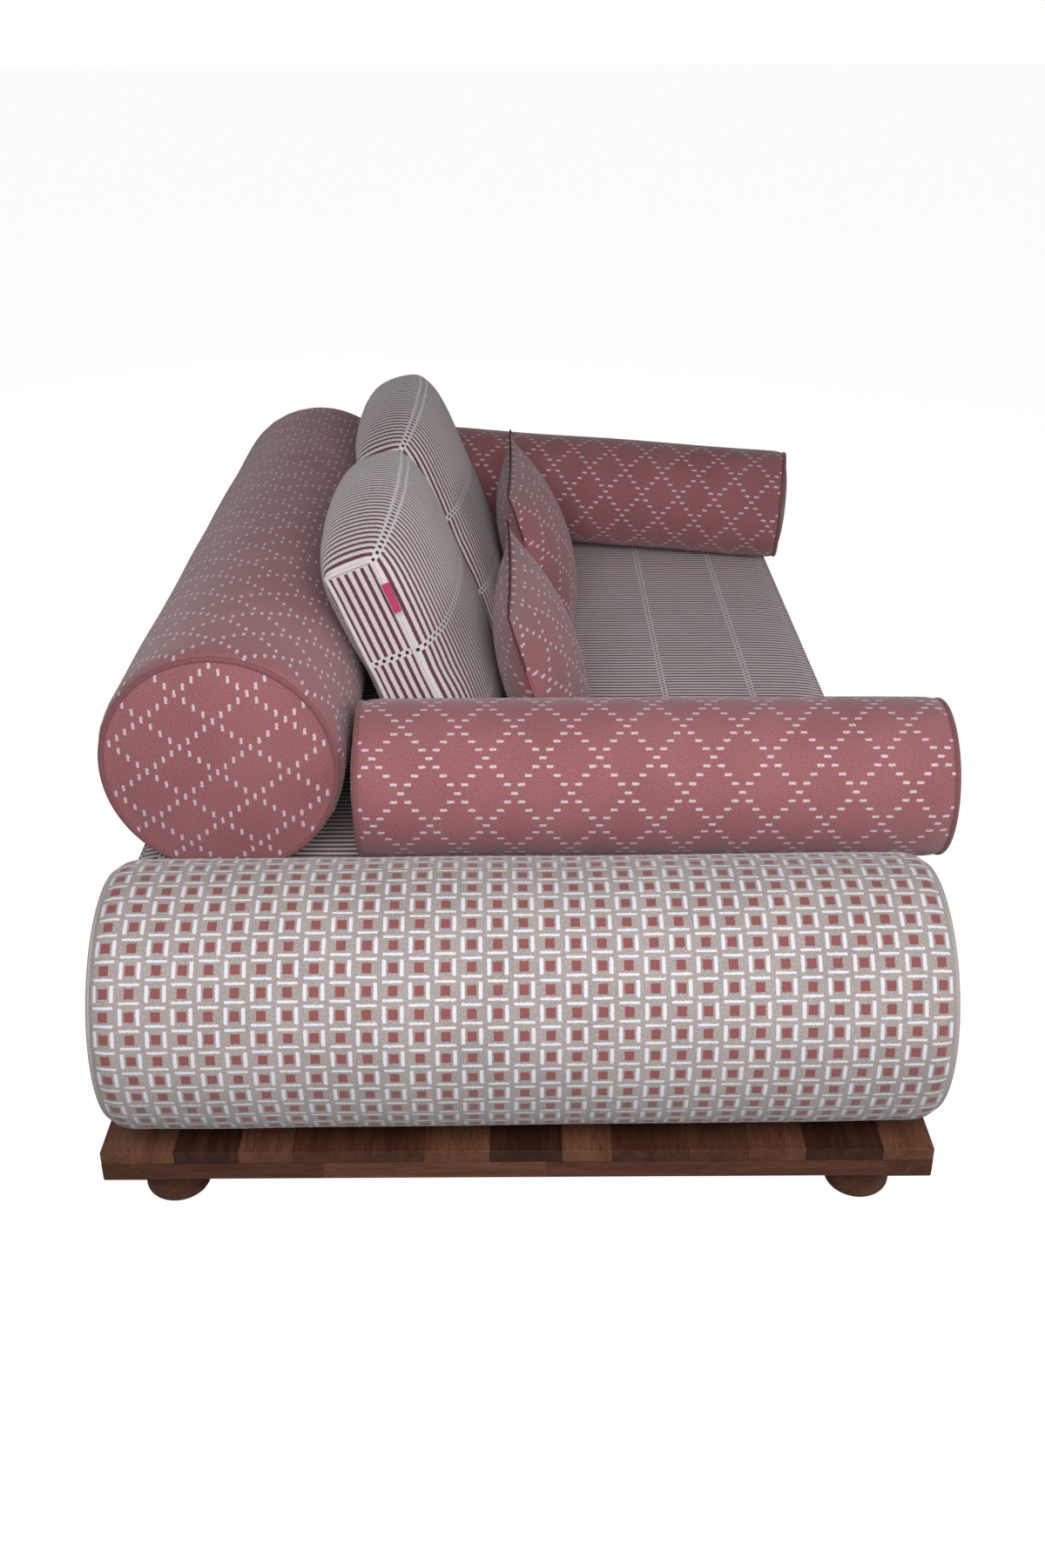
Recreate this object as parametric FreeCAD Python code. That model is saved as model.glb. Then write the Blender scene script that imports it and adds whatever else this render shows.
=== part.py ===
import FreeCAD, Part
import math
import os
from FreeCAD import Vector

# A low timber platform daybed with loose bolsters and cushions, in millimetres.
# +X is the seat front, +Y runs along the long side, +Z is up. The pieces are laid out about the platform's
# middle and then moved, so that the origin is on the floor under the middle of the whole divan.

# Platform
PLATFORM_WIDTH = 1050.0
PLATFORM_LENGTH = 2000.0
PANEL_THICKNESS = 18.0
STAVE_COUNT = 13
STAVE_WIDTH_SPREAD = 0.22  # how far a stave's width strays from the mean
RAIL_THICKNESS = 26.0
RAIL_WIDTH = 57.0
EDGE_CHAMFER = 1.5
BEARER_WIDTH = 70.0
BEARER_COUNT = 3
BEARER_REACH = 0.55  # share of the way from the middle to a leg block
LEG_BLOCK_SIZE = 115.0

# Feet
FOOT_RADIUS = 42.0
FOOT_HEIGHT = 73.0
FOOT_EDGE_ROUND = 12.0  # the lower edge, in two steps
FOOT_ROUND_STEP = 0.27  # share of the edge round at its middle step
FOOT_INSET = 75.0  # from the platform's edges to a foot's axis
GLIDE_RADIUS = 27.0
GLIDE_THICKNESS = 3.0
BOLT_RADIUS = 4.0
BOLT_DEPTH_IN_FOOT = 40.0
NUT_RADIUS = 7.5  # across the corners of a captive nut
NUT_LENGTH = 12.0

# Loose pieces
FLATNESS = 0.001  # a facet's corners lie this near one plane
REST_GAP = 0.3  # between a soft piece and what it lies on
SIDE_GAP = 1.0  # between two soft pieces side by side
COVER_THICKNESS = 3.0
FILL_GAP = 0.3

# Mattress
MATTRESS_WIDTH = PLATFORM_WIDTH - 6.0
MATTRESS_LENGTH = PLATFORM_LENGTH - 582.0  # leaves room for the end bolsters
MATTRESS_HEIGHT = 222.0  # to the piping line
MATTRESS_CROWN = 10.0
MATTRESS_CORNER = 38.0
CORNER_FACETS = 4
MATTRESS_SIDE_DRAW = 4.0  # the boxing is drawn in at mid height
CROWN_RUN = 60.0  # the top slopes over this much beside its edge
CROWN_RISE = 0.7  # share of the crown reached at CROWN_KNEE of that run
CROWN_KNEE = 0.4
PIPING_RADIUS = 4.5
PIPING_BACK = 0.1  # the cord's flat back stands off the boxing
ZIP_LENGTH = 900.0
ZIP_WIDTH = 26.0
ZIP_THICKNESS = 2.0

# Bolsters: radius, length
END_BOLSTER_RADIUS = 170.0
END_BOLSTER_LENGTH = PLATFORM_WIDTH + 30.0
END_BOLSTER_YAW = 0.6  # degrees, lies slightly askew
BACK_BOLSTER_RADIUS = 163.0
BACK_BOLSTER_LENGTH = MATTRESS_LENGTH - 128.0
BACK_BOLSTER_OVERHANG = 24.0  # past the platform's back edge
BACK_BOLSTER_NEAR_OVERHANG = 16.0  # past the mattress's near end
ARM_BOLSTER_RADIUS = 110.0
ARM_BOLSTER_LENGTH = PLATFORM_WIDTH - 224.0
NEAR_ARM_INSET = 66.0  # from the mattress's end to the bolster's axis
FAR_ARM_YAW = -7.9
FAR_ARM_TILT = 2.3  # its back end lies up on the end bolster
FAR_ARM_SHIFT = -22.0  # lies further back than the near one
END_ROUND_LENGTH = 24.0
END_ROUND_DROP = 8.0

# Back cushions
BACK_CUSHION_LENGTH = 0.378 * MATTRESS_LENGTH
BACK_CUSHION_HEIGHT = 392.0
BOX_THICKNESS = 66.0
BACK_CUSHION_LEAN = 22.0
FRONT_CROWN = 58.0
REAR_CROWN = 26.0
TOP_CROWN = 26.0
SEAM_BOW = 14.0  # the top seams rise between the corners
BACK_CUSHION_START = 5.0  # from the near arm bolster
BACK_CUSHION_BETWEEN = 6.0
BACK_CUSHION_STAND_OFF = 0.6  # from the back bolster

# A crowned face rises in levels: each level is the seam's outline shrunk to this share
CROWN_LEVELS = (1.0, 0.93, 0.8, 0.6, 0.34)
CROWN_FULLNESS = 0.7  # power of the crown's profile
SEAM_FACETS = 6  # along a bowed side of a seam
BELOW_SEAT = 30.0  # a cushion's outline is cut off by the mattress this far up

# Scatter cushions
SCATTER_LENGTH = 0.791 * BACK_CUSHION_LENGTH
SCATTER_HEIGHT = 304.0
SCATTER_CROWN = 72.0
SCATTER_DRAW = 13.0  # the top is drawn in between its ears
SCATTER_END_DRAW = 7.0
SCATTER_STAND_OFF = 1.4  # from its back cushion, measured between the crowns at half height
SCATTER_LEAN = 18.0
SCATTER_STARTS = {"near": 21.0, "far": 46.0}  # from its back cushion's near end
TAB_LENGTH = 44.0
TAB_DEPTH = 11.0
TAB_THICKNESS = 1.6
TAB_CLEARANCE = 2.3  # from the seam line of a back cushion
BACK_TAB_DROP = 34.0  # below the top seam
SCATTER_TAB_DROP = 84.0

X_AXIS = Vector(1, 0, 0)
Y_AXIS = Vector(0, 1, 0)
Z_AXIS = Vector(0, 0, 1)
ORIGIN = Vector(0, 0, 0)

RAIL_BOTTOM = GLIDE_THICKNESS + FOOT_HEIGHT
PANEL_BOTTOM = RAIL_BOTTOM + RAIL_THICKNESS
NUT_BOTTOM = PANEL_BOTTOM - NUT_LENGTH
PLATFORM_TOP = PANEL_BOTTOM + PANEL_THICKNESS
MATTRESS_BOTTOM = PLATFORM_TOP + REST_GAP
SEAT_TOP = MATTRESS_BOTTOM + MATTRESS_HEIGHT + MATTRESS_CROWN
HALF_WIDTH = PLATFORM_WIDTH / 2
HALF_LENGTH = PLATFORM_LENGTH / 2
MATTRESS_END = MATTRESS_LENGTH / 2
INNER_HALF_WIDTH = HALF_WIDTH - RAIL_WIDTH


def box(low, high):
    """A box between two corners given as (x, y, z)."""
    size = [h - l for l, h in zip(low, high)]
    return Part.makeBox(size[0], size[1], size[2], Vector(*low))


def stacked(levels):
    """A round solid about the Z axis, lofted straight through (radius, height) levels."""
    circles = [Part.Wire(Part.makeCircle(r, Vector(0, 0, z))) for r, z in levels]
    return Part.makeLoft(circles, True, True)


def moved(shape, x=0.0, y=0.0, z=0.0):
    copy = shape.copy()
    copy.translate(Vector(x, y, z))
    return copy


def along_x(shape):
    """Lays a solid that stands on Z down along X."""
    copy = shape.copy()
    copy.rotate(ORIGIN, Y_AXIS, 90)
    return copy


def posed(shape, yaw, tilt, place):
    """Tilts about Y, then yaws about Z, then moves. A positive tilt raises the -X end."""
    copy = shape.copy()
    copy.rotate(ORIGIN, Y_AXIS, tilt)
    copy.rotate(ORIGIN, Z_AXIS, yaw)
    copy.translate(place)
    return copy


def foot_places():
    """(pair, x, y) of each foot: three pairs."""
    x = HALF_WIDTH - FOOT_INSET
    pairs = {"near": FOOT_INSET - HALF_LENGTH, "middle": 0.0, "far": HALF_LENGTH - FOOT_INSET}
    return [(pair, side * x, y) for pair, y in pairs.items() for side in (-1, 1)]


def top_panel():
    """Edge-glued staves along Y whose widths vary, with a chamfered arris round the panel."""
    shares = [1 + STAVE_WIDTH_SPREAD * math.sin(2.4 * i + 0.7) for i in range(STAVE_COUNT)]
    scale = PLATFORM_WIDTH / sum(shares)
    panel = box((-HALF_WIDTH, -HALF_LENGTH, PANEL_BOTTOM), (HALF_WIDTH, HALF_LENGTH, PLATFORM_TOP))
    top_edges = [e for e in panel.Edges if e.BoundBox.ZMin > PLATFORM_TOP - EDGE_CHAMFER]
    panel = panel.makeChamfer(EDGE_CHAMFER, top_edges)
    staves = []
    x = -HALF_WIDTH
    for share in shares:
        right = x + share * scale
        slab = box((x, -HALF_LENGTH, PANEL_BOTTOM), (right, HALF_LENGTH, PLATFORM_TOP))
        staves.append(panel.common(slab).Solids[0])
        x = right
    return Part.makeCompound(staves)


def hexagon_prism(radius, length):
    corners = [Vector(radius * math.cos(i * math.pi / 3), radius * math.sin(i * math.pi / 3), 0) for i in range(6)]
    return Part.Face(Part.makePolygon(corners + corners[:1])).extrude(Vector(0, 0, length))


def drilled(shape):
    """Bores the bolt hole and the nut's socket where a foot's axis meets this piece."""
    for _, x, y in foot_places():
        bolt = moved(Part.makeCylinder(BOLT_RADIUS, NUT_BOTTOM - RAIL_BOTTOM), x, y, RAIL_BOTTOM)
        if shape.BoundBox.intersect(bolt.BoundBox):
            socket = moved(hexagon_prism(NUT_RADIUS, NUT_LENGTH), x, y, NUT_BOTTOM)
            shape = shape.cut(bolt).cut(socket)
    return shape.Solids[0]


def long_rail(side):
    inner, outer = sorted((side * INNER_HALF_WIDTH, side * HALF_WIDTH))
    rail = box((inner, -HALF_LENGTH, RAIL_BOTTOM), (outer, HALF_LENGTH, PANEL_BOTTOM))
    edge_x = side * HALF_WIDTH
    lower = [e for e in rail.Edges if abs(e.CenterOfMass.x - edge_x) < 1 and e.BoundBox.ZMax < RAIL_BOTTOM + 1]
    return rail.makeChamfer(EDGE_CHAMFER, lower)


def end_rail(end):
    inner, outer = sorted((end * (HALF_LENGTH - RAIL_WIDTH), end * HALF_LENGTH))
    rail = box((-INNER_HALF_WIDTH, inner, RAIL_BOTTOM), (INNER_HALF_WIDTH, outer, PANEL_BOTTOM))
    edge_y = end * HALF_LENGTH
    lower = [e for e in rail.Edges if abs(e.CenterOfMass.y - edge_y) < 1 and e.BoundBox.ZMax < RAIL_BOTTOM + 1]
    return rail.makeChamfer(EDGE_CHAMFER, lower)


def bearer_ys():
    """The outer bearers stand about midway between the middle one and the leg blocks."""
    reach = (HALF_LENGTH - RAIL_WIDTH - LEG_BLOCK_SIZE) * BEARER_REACH
    return [reach * (2 * i / (BEARER_COUNT - 1) - 1) for i in range(BEARER_COUNT)]


def bearer(y):
    low = (-INNER_HALF_WIDTH, y - BEARER_WIDTH / 2, RAIL_BOTTOM)
    high = (INNER_HALF_WIDTH, y + BEARER_WIDTH / 2, PANEL_BOTTOM)
    return drilled(box(low, high))


def leg_blocks():
    """Blocks in the frame's corners that take the feet's bolts."""
    blocks = []
    for sx in (-1, 1):
        for sy in (-1, 1):
            xs = sorted((sx * INNER_HALF_WIDTH, sx * (INNER_HALF_WIDTH - LEG_BLOCK_SIZE)))
            y_outer = HALF_LENGTH - RAIL_WIDTH
            ys = sorted((sy * y_outer, sy * (y_outer - LEG_BLOCK_SIZE)))
            blocks.append(drilled(box((xs[0], ys[0], RAIL_BOTTOM), (xs[1], ys[1], PANEL_BOTTOM))))
    return Part.makeCompound(blocks)


def foot():
    """A turned foot standing on z = 0, rounded below, bored for its hanger bolt."""
    r = FOOT_RADIUS
    e = FOOT_EDGE_ROUND
    step = e * FOOT_ROUND_STEP
    body = stacked([(r - e, 0), (r - step, step), (r, e), (r, FOOT_HEIGHT)])
    hole_bottom = FOOT_HEIGHT - BOLT_DEPTH_IN_FOOT
    hole = Part.makeCylinder(BOLT_RADIUS, BOLT_DEPTH_IN_FOOT, Vector(0, 0, hole_bottom))
    return body.cut(hole).Solids[0]


def per_foot(solid, z):
    return Part.makeCompound([moved(solid, x, y, z) for _, x, y in foot_places()])


def hanger_bolt():
    """Runs from its hole in the foot up through the captive nut."""
    return Part.makeCylinder(BOLT_RADIUS, BOLT_DEPTH_IN_FOOT + RAIL_THICKNESS)


def captive_nut():
    return hexagon_prism(NUT_RADIUS, NUT_LENGTH).cut(Part.makeCylinder(BOLT_RADIUS, NUT_LENGTH))


def flat_face(points):
    return Part.Face(Part.makePolygon(points + points[:1]))


def skinned(sections):
    """A solid of flat facets through closed sections of points, each strip split where it twists."""
    faces = [flat_face(sections[0]), flat_face(sections[-1])]
    for lower, upper in zip(sections, sections[1:]):
        for i in range(len(lower)):
            a, b, c, d = lower[i - 1], lower[i], upper[i], upper[i - 1]
            normal = (b - a).cross(d - a).normalize()
            if abs((c - a).dot(normal)) < FLATNESS:
                faces.append(flat_face([a, b, c, d]))
            else:
                faces += [flat_face([a, b, c]), flat_face([a, c, d])]
    shell = Part.makeShell(faces)
    shell.sewShape()
    return Part.makeSolid(shell)


def rounded_outline(half_x, half_y, corner, z):
    """A rectangle with rounded corners, as points."""
    points = []
    for quarter, (sx, sy) in enumerate(((1, 1), (-1, 1), (-1, -1), (1, -1))):
        for step in range(CORNER_FACETS + 1):
            angle = math.pi / 2 * (quarter + step / CORNER_FACETS)
            x = sx * (half_x - corner) + corner * math.cos(angle)
            y = sy * (half_y - corner) + corner * math.sin(angle)
            points.append(Vector(x, y, z))
    return points


def mattress_form(inset):
    """The crowned box: boxing drawn in at mid height, a sloped margin at the top, a flat middle."""
    half_x = MATTRESS_WIDTH / 2 - inset
    half_y = MATTRESS_LENGTH / 2 - inset
    corner = MATTRESS_CORNER - inset
    bottom = MATTRESS_BOTTOM + inset
    seam = MATTRESS_BOTTOM + MATTRESS_HEIGHT - inset
    knee = CROWN_RUN * CROWN_KNEE
    middle = bottom + MATTRESS_HEIGHT / 2
    draw = MATTRESS_SIDE_DRAW
    sections = [
        rounded_outline(half_x, half_y, corner, bottom),
        rounded_outline(half_x - draw, half_y - draw, corner - draw, middle),
        rounded_outline(half_x, half_y, corner, seam),
        rounded_outline(half_x - knee, half_y - knee, corner, seam + CROWN_RISE * MATTRESS_CROWN),
        rounded_outline(half_x - CROWN_RUN, half_y - CROWN_RUN, corner, SEAT_TOP - inset),
    ]
    return skinned(sections)


def mattress_cover():
    return mattress_form(0.0).cut(mattress_form(COVER_THICKNESS)).Solids[0]


def mattress_core():
    return mattress_form(COVER_THICKNESS + FILL_GAP)


def mattress_piping():
    """Cords round the top and bottom seams, square on edge in section, just outside the boxing."""
    rings = []
    reach = PIPING_RADIUS
    edge = 2 * PIPING_BACK
    for z in (MATTRESS_BOTTOM + reach, MATTRESS_BOTTOM + MATTRESS_HEIGHT - reach):
        def level(out, height):
            return rounded_outline(MATTRESS_WIDTH / 2 + out, MATTRESS_LENGTH / 2 + out, MATTRESS_CORNER + out, height)
        outer = skinned([level(edge, z - reach), level(reach, z), level(edge, z + reach)])
        inner = skinned([level(PIPING_BACK, z - reach), level(PIPING_BACK, z + reach)])
        rings.append(outer.cut(inner).Solids[0])
    return Part.makeCompound(rings)


def mattress_zip():
    """A zip let into the boxing on the hidden back side."""
    x = MATTRESS_SIDE_DRAW * (1 - ZIP_WIDTH / MATTRESS_HEIGHT) - MATTRESS_WIDTH / 2 - FILL_GAP
    z = MATTRESS_BOTTOM + MATTRESS_HEIGHT / 2
    low = (x - ZIP_THICKNESS, -ZIP_LENGTH / 2, z - ZIP_WIDTH / 2)
    return box(low, (x, ZIP_LENGTH / 2, z + ZIP_WIDTH / 2))


def bolster_pieces(radius, length):
    """Sleeve, piped end discs and filling of a bolster that lies along X about the origin."""
    half = length / 2 - PIPING_RADIUS
    neck = radius - END_ROUND_DROP
    shoulder = half - END_ROUND_LENGTH
    outside = stacked([(neck, -half), (radius, -shoulder), (radius, shoulder), (neck, half)])
    inner = neck - COVER_THICKNESS
    sleeve = outside.cut(Part.makeCylinder(inner, 2 * half, Vector(0, 0, -half))).Solids[0]
    rim = neck + PIPING_RADIUS / 2
    discs = [Part.makeCylinder(rim, PIPING_RADIUS, Vector(0, 0, z)) for z in (half, -half - PIPING_RADIUS)]
    fill = Part.makeCylinder(inner - FILL_GAP, 2 * (half - FILL_GAP), Vector(0, 0, FILL_GAP - half))
    shapes = {"sleeve": sleeve, "end_discs": Part.makeCompound(discs), "filling": fill}
    return {name: along_x(shape) for name, shape in shapes.items()}


def end_bolster(end):
    """Lies straight on the platform against the mattress's end."""
    skew = END_BOLSTER_LENGTH / 2 * math.sin(math.radians(END_BOLSTER_YAW))
    y = MATTRESS_END + PIPING_RADIUS + SIDE_GAP + END_BOLSTER_RADIUS + skew
    place = Vector(0, end * y, PLATFORM_TOP + REST_GAP + END_BOLSTER_RADIUS)
    pieces = bolster_pieces(END_BOLSTER_RADIUS, END_BOLSTER_LENGTH)
    return {n: posed(s, END_BOLSTER_YAW, 0.0, place) for n, s in pieces.items()}, place


def back_bolster():
    """Lies along the mattress's back edge and overhangs it a little."""
    x = BACK_BOLSTER_RADIUS - HALF_WIDTH - BACK_BOLSTER_OVERHANG
    y = BACK_BOLSTER_LENGTH / 2 - MATTRESS_END - BACK_BOLSTER_NEAR_OVERHANG
    place = Vector(x, y, SEAT_TOP + REST_GAP + BACK_BOLSTER_RADIUS)
    pieces = bolster_pieces(BACK_BOLSTER_RADIUS, BACK_BOLSTER_LENGTH)
    return {n: posed(s, 90.0, 0.0, place) for n, s in pieces.items()}, place


def arm_centre_x(back_place):
    """The arm bolsters start just clear of the back bolster."""
    return back_place.x + BACK_BOLSTER_RADIUS + 2 * SIDE_GAP + ARM_BOLSTER_LENGTH / 2


def near_arm(back_place):
    y = NEAR_ARM_INSET - MATTRESS_END
    place = Vector(arm_centre_x(back_place), y, SEAT_TOP + REST_GAP + ARM_BOLSTER_RADIUS)
    pieces = bolster_pieces(ARM_BOLSTER_RADIUS, ARM_BOLSTER_LENGTH)
    return {n: posed(s, 0.0, 0.0, place) for n, s in pieces.items()}, place


def far_arm(back_place, end_place):
    """Rests on the front edge of the mattress's flat top and, at its back end, on the far end bolster."""
    yaw = math.radians(FAR_ARM_YAW)
    tilt = math.radians(FAR_ARM_TILT)
    reach = ARM_BOLSTER_LENGTH / 2 - PIPING_RADIUS - END_ROUND_LENGTH
    centre_x = arm_centre_x(back_place) + FAR_ARM_SHIFT
    rest_x = MATTRESS_WIDTH / 2 - CROWN_RUN
    rise = (rest_x - centre_x) / math.cos(yaw) * math.tan(tilt)
    centre_z = SEAT_TOP + REST_GAP + ARM_BOLSTER_RADIUS / math.cos(tilt) + rise
    back_x = centre_x - reach * math.cos(tilt) * math.cos(yaw)
    back_z = centre_z + reach * math.sin(tilt)
    end_y = end_place.y + back_x * math.tan(math.radians(END_BOLSTER_YAW))
    touch = END_BOLSTER_RADIUS + ARM_BOLSTER_RADIUS
    back_y = end_y - math.sqrt(touch ** 2 - (back_z - end_place.z) ** 2)
    centre_y = back_y + reach * math.cos(tilt) * math.sin(yaw)
    pieces = bolster_pieces(ARM_BOLSTER_RADIUS, ARM_BOLSTER_LENGTH)
    place = Vector(centre_x, centre_y, centre_z)
    return {n: posed(s, FAR_ARM_YAW, FAR_ARM_TILT, place) for n, s in pieces.items()}


def bowed(a, b, bow, facets):
    """Points from a up to b, without b, whose middle stands off by the vector bow."""
    return [a + (b - a) * (i / facets) + bow * (1 - (2 * i / facets - 1) ** 2) for i in range(facets)]


def crown_profile(share):
    """How far a crown has risen, 0 to 1, where its level is the seam's outline shrunk to share."""
    return ((1 - share ** 2) / (1 - CROWN_LEVELS[-1] ** 2)) ** CROWN_FULLNESS


def crown_sections(outline, x, rise):
    """The seam's outline, given at x = 0, shrunk level by level towards its middle as the crown rises from x."""
    ys = [point.y for point in outline]
    zs = [point.z for point in outline]
    middle = Vector(0, (min(ys) + max(ys)) / 2, (min(zs) + max(zs)) / 2)
    sections = []
    for share in CROWN_LEVELS:
        offset = Vector(x + rise * crown_profile(share), 0, 0)
        sections.append([middle + (point - middle) * share + offset for point in outline])
    return sections


def seam_outline(length, height, inset, top_bow, end_draw):
    """A cushion's seam at x = 0: up the near end, along the top, down the far end, back below the seat."""
    low = inset - BELOW_SEAT
    high = height - inset
    far = length - inset
    corners = [Vector(0, inset, low), Vector(0, inset, high), Vector(0, far, high), Vector(0, far, low)]
    facets = SEAM_FACETS if end_draw else 1
    near_end = bowed(corners[0], corners[1], Vector(0, end_draw, 0), facets)
    top = bowed(corners[1], corners[2], Vector(0, 0, top_bow), SEAM_FACETS)
    far_end = bowed(corners[2], corners[3], Vector(0, -end_draw, 0), facets)
    return near_end + top + far_end + corners[3:]


def box_cushion_form(inset):
    """A boxed cushion standing on z = 0 with its length along Y: flat ends, crowned faces, bowed top."""
    half = BOX_THICKNESS / 2 - inset
    seam = seam_outline(BACK_CUSHION_LENGTH, BACK_CUSHION_HEIGHT, inset, SEAM_BOW, 0.0)
    ridge = seam_outline(BACK_CUSHION_LENGTH, BACK_CUSHION_HEIGHT, inset, SEAM_BOW + TOP_CROWN, 0.0)
    rear = crown_sections(seam, -half, -REAR_CROWN)
    front = crown_sections(seam, half, FRONT_CROWN)
    return skinned(rear[::-1] + [ridge] + front)


def knife_cushion_form(inset):
    """A knife-edge cushion: two crowned faces that meet at a seam drawn in between the corners."""
    seam = seam_outline(SCATTER_LENGTH, SCATTER_HEIGHT, inset, -SCATTER_DRAW, SCATTER_END_DRAW)
    rise = SCATTER_CROWN - inset
    return skinned(crown_sections(seam, 0.0, -rise)[::-1] + crown_sections(seam, 0.0, rise)[1:])


def leaned(shape, lean, place):
    """Leans the top towards -X about the Y axis, then moves."""
    copy = shape.copy()
    copy.rotate(ORIGIN, Y_AXIS, -lean)
    copy.translate(place)
    return copy


def seated(shape, inset):
    """Cuts a leaning cushion flat where it rests on the mattress."""
    level = SEAT_TOP + REST_GAP + inset
    bounds = shape.BoundBox
    below = box((bounds.XMin - 1, bounds.YMin - 1, bounds.ZMin - 1), (bounds.XMax + 1, bounds.YMax + 1, level))
    return shape.cut(below).Solids[0]


def back_cushion_place(back_place, y):
    """Stands so that the rear crown just clears the back bolster."""
    lean = math.radians(BACK_CUSHION_LEAN)
    stand_off = BACK_BOLSTER_RADIUS + BACK_CUSHION_STAND_OFF + REAR_CROWN + BOX_THICKNESS / 2
    drop = back_place.z - SEAT_TOP
    x = back_place.x + (stand_off + drop * math.sin(lean)) / math.cos(lean)
    return Vector(x, y, SEAT_TOP)


def scatter_place(cushion_place, y):
    """Leans on the back cushion's front crown."""
    lean = math.radians(SCATTER_LEAN)
    back_lean = math.radians(BACK_CUSHION_LEAN)
    height = SCATTER_HEIGHT / 2
    crown_x = cushion_place.x - height * math.tan(back_lean)
    crown_x += (BOX_THICKNESS / 2 + FRONT_CROWN) / math.cos(back_lean)
    x = crown_x + (SCATTER_CROWN + SCATTER_STAND_OFF) / math.cos(lean) + height * math.tan(lean)
    return Vector(x, y, SEAT_TOP)


def filled_cushion(form, lean, place):
    """Cover and insert of a leaning cushion."""
    outer = seated(leaned(form(0.0), lean, place), 0.0)
    inner = seated(leaned(form(COVER_THICKNESS), lean, place), COVER_THICKNESS)
    fill = seated(leaned(form(COVER_THICKNESS + FILL_GAP), lean, place), COVER_THICKNESS + FILL_GAP)
    return {"cover": outer.cut(inner).Solids[0], "insert": fill}


def tab(x, y, top_z):
    """A folded woven tab that stands out of a seam towards +X."""
    low = (x, y - TAB_THICKNESS / 2, top_z - TAB_LENGTH)
    return box(low, (x + TAB_DEPTH, y + TAB_THICKNESS / 2, top_z))


def scatter_tab():
    """Stands out of the near end seam, whose draw is least at the tab's upper end."""
    top = SCATTER_HEIGHT - SCATTER_TAB_DROP
    share = (top + BELOW_SEAT) / (SCATTER_HEIGHT + BELOW_SEAT)
    seam_y = SCATTER_END_DRAW * (1 - (2 * share - 1) ** 2)
    turned = tab(0.0, 0.0, top)
    turned.rotate(ORIGIN, Z_AXIS, -90)
    return moved(turned, y=seam_y - 2 * FILL_GAP)


def centred(nodes, front_x):
    """Moves every node along X so that the divan's front and back lie equally far from the origin."""
    back_x = -HALF_WIDTH - BACK_BOLSTER_OVERHANG
    return {name: moved(shape, x=-(front_x + back_x) / 2) for name, shape in nodes.items()}


def build():
    nodes = {"top_panel": top_panel()}
    nodes["long_rail_back"] = long_rail(-1)
    nodes["long_rail_front"] = long_rail(1)
    nodes["end_rail_near"] = end_rail(-1)
    nodes["end_rail_far"] = end_rail(1)
    for name, y in zip(("near", "middle", "far"), bearer_ys()):
        nodes[f"bearer_{name}"] = bearer(y)
    nodes["leg_blocks"] = leg_blocks()
    for pair in ("near", "middle", "far"):
        feet = [moved(foot(), x, y, GLIDE_THICKNESS) for name, x, y in foot_places() if name == pair]
        nodes[f"feet_{pair}"] = Part.makeCompound(feet)
    glide = Part.makeCylinder(GLIDE_RADIUS, GLIDE_THICKNESS)
    nodes["foot_glides"] = per_foot(glide, 0.0)
    nodes["hanger_bolts"] = per_foot(hanger_bolt(), RAIL_BOTTOM - BOLT_DEPTH_IN_FOOT)
    nodes["captive_nuts"] = per_foot(captive_nut(), NUT_BOTTOM)
    nodes["mattress_cover"] = mattress_cover()
    nodes["mattress_core"] = mattress_core()
    nodes["mattress_piping"] = mattress_piping()
    nodes["mattress_zip"] = mattress_zip()

    near_end, _ = end_bolster(-1)
    far_end, far_end_place = end_bolster(1)
    back, back_place = back_bolster()
    arm_near, arm_place = near_arm(back_place)
    arm_far = far_arm(back_place, far_end_place)
    bolsters = {"end_bolster_near": near_end, "end_bolster_far": far_end, "back_bolster": back,
                "arm_bolster_near": arm_near, "arm_bolster_far": arm_far}
    for name, pieces in bolsters.items():
        for piece, shape in pieces.items():
            nodes[f"{name}_{piece}"] = shape

    y = arm_place.y + ARM_BOLSTER_RADIUS + BACK_CUSHION_START
    for name in ("near", "far"):
        place = back_cushion_place(back_place, y)
        for piece, shape in filled_cushion(box_cushion_form, BACK_CUSHION_LEAN, place).items():
            nodes[f"back_cushion_{name}_{piece}"] = shape
        if name == "near":
            seam_x = BOX_THICKNESS / 2 + TAB_CLEARANCE
            loose = tab(seam_x, TAB_THICKNESS, BACK_CUSHION_HEIGHT - BACK_TAB_DROP)
            nodes["back_cushion_near_tab"] = leaned(loose, BACK_CUSHION_LEAN, place)
        spot = scatter_place(place, y + SCATTER_STARTS[name])
        for piece, shape in filled_cushion(knife_cushion_form, SCATTER_LEAN, spot).items():
            nodes[f"scatter_cushion_{name}_{piece}"] = shape
        nodes[f"scatter_cushion_{name}_tab"] = leaned(scatter_tab(), SCATTER_LEAN, spot)
        y += BACK_CUSHION_LENGTH + BACK_CUSHION_BETWEEN
    return centred(nodes, arm_place.x + ARM_BOLSTER_LENGTH / 2)


os.makedirs("parts", exist_ok=True)
for node, shape in build().items():
    shape.exportStep(f"parts/{node}.step")
    print(node, len(shape.Solids), "valid" if shape.isValid() else "NOT VALID", round(shape.Volume))
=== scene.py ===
import math

import bmesh
import bpy
from mathutils import Matrix, Vector, noise


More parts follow.
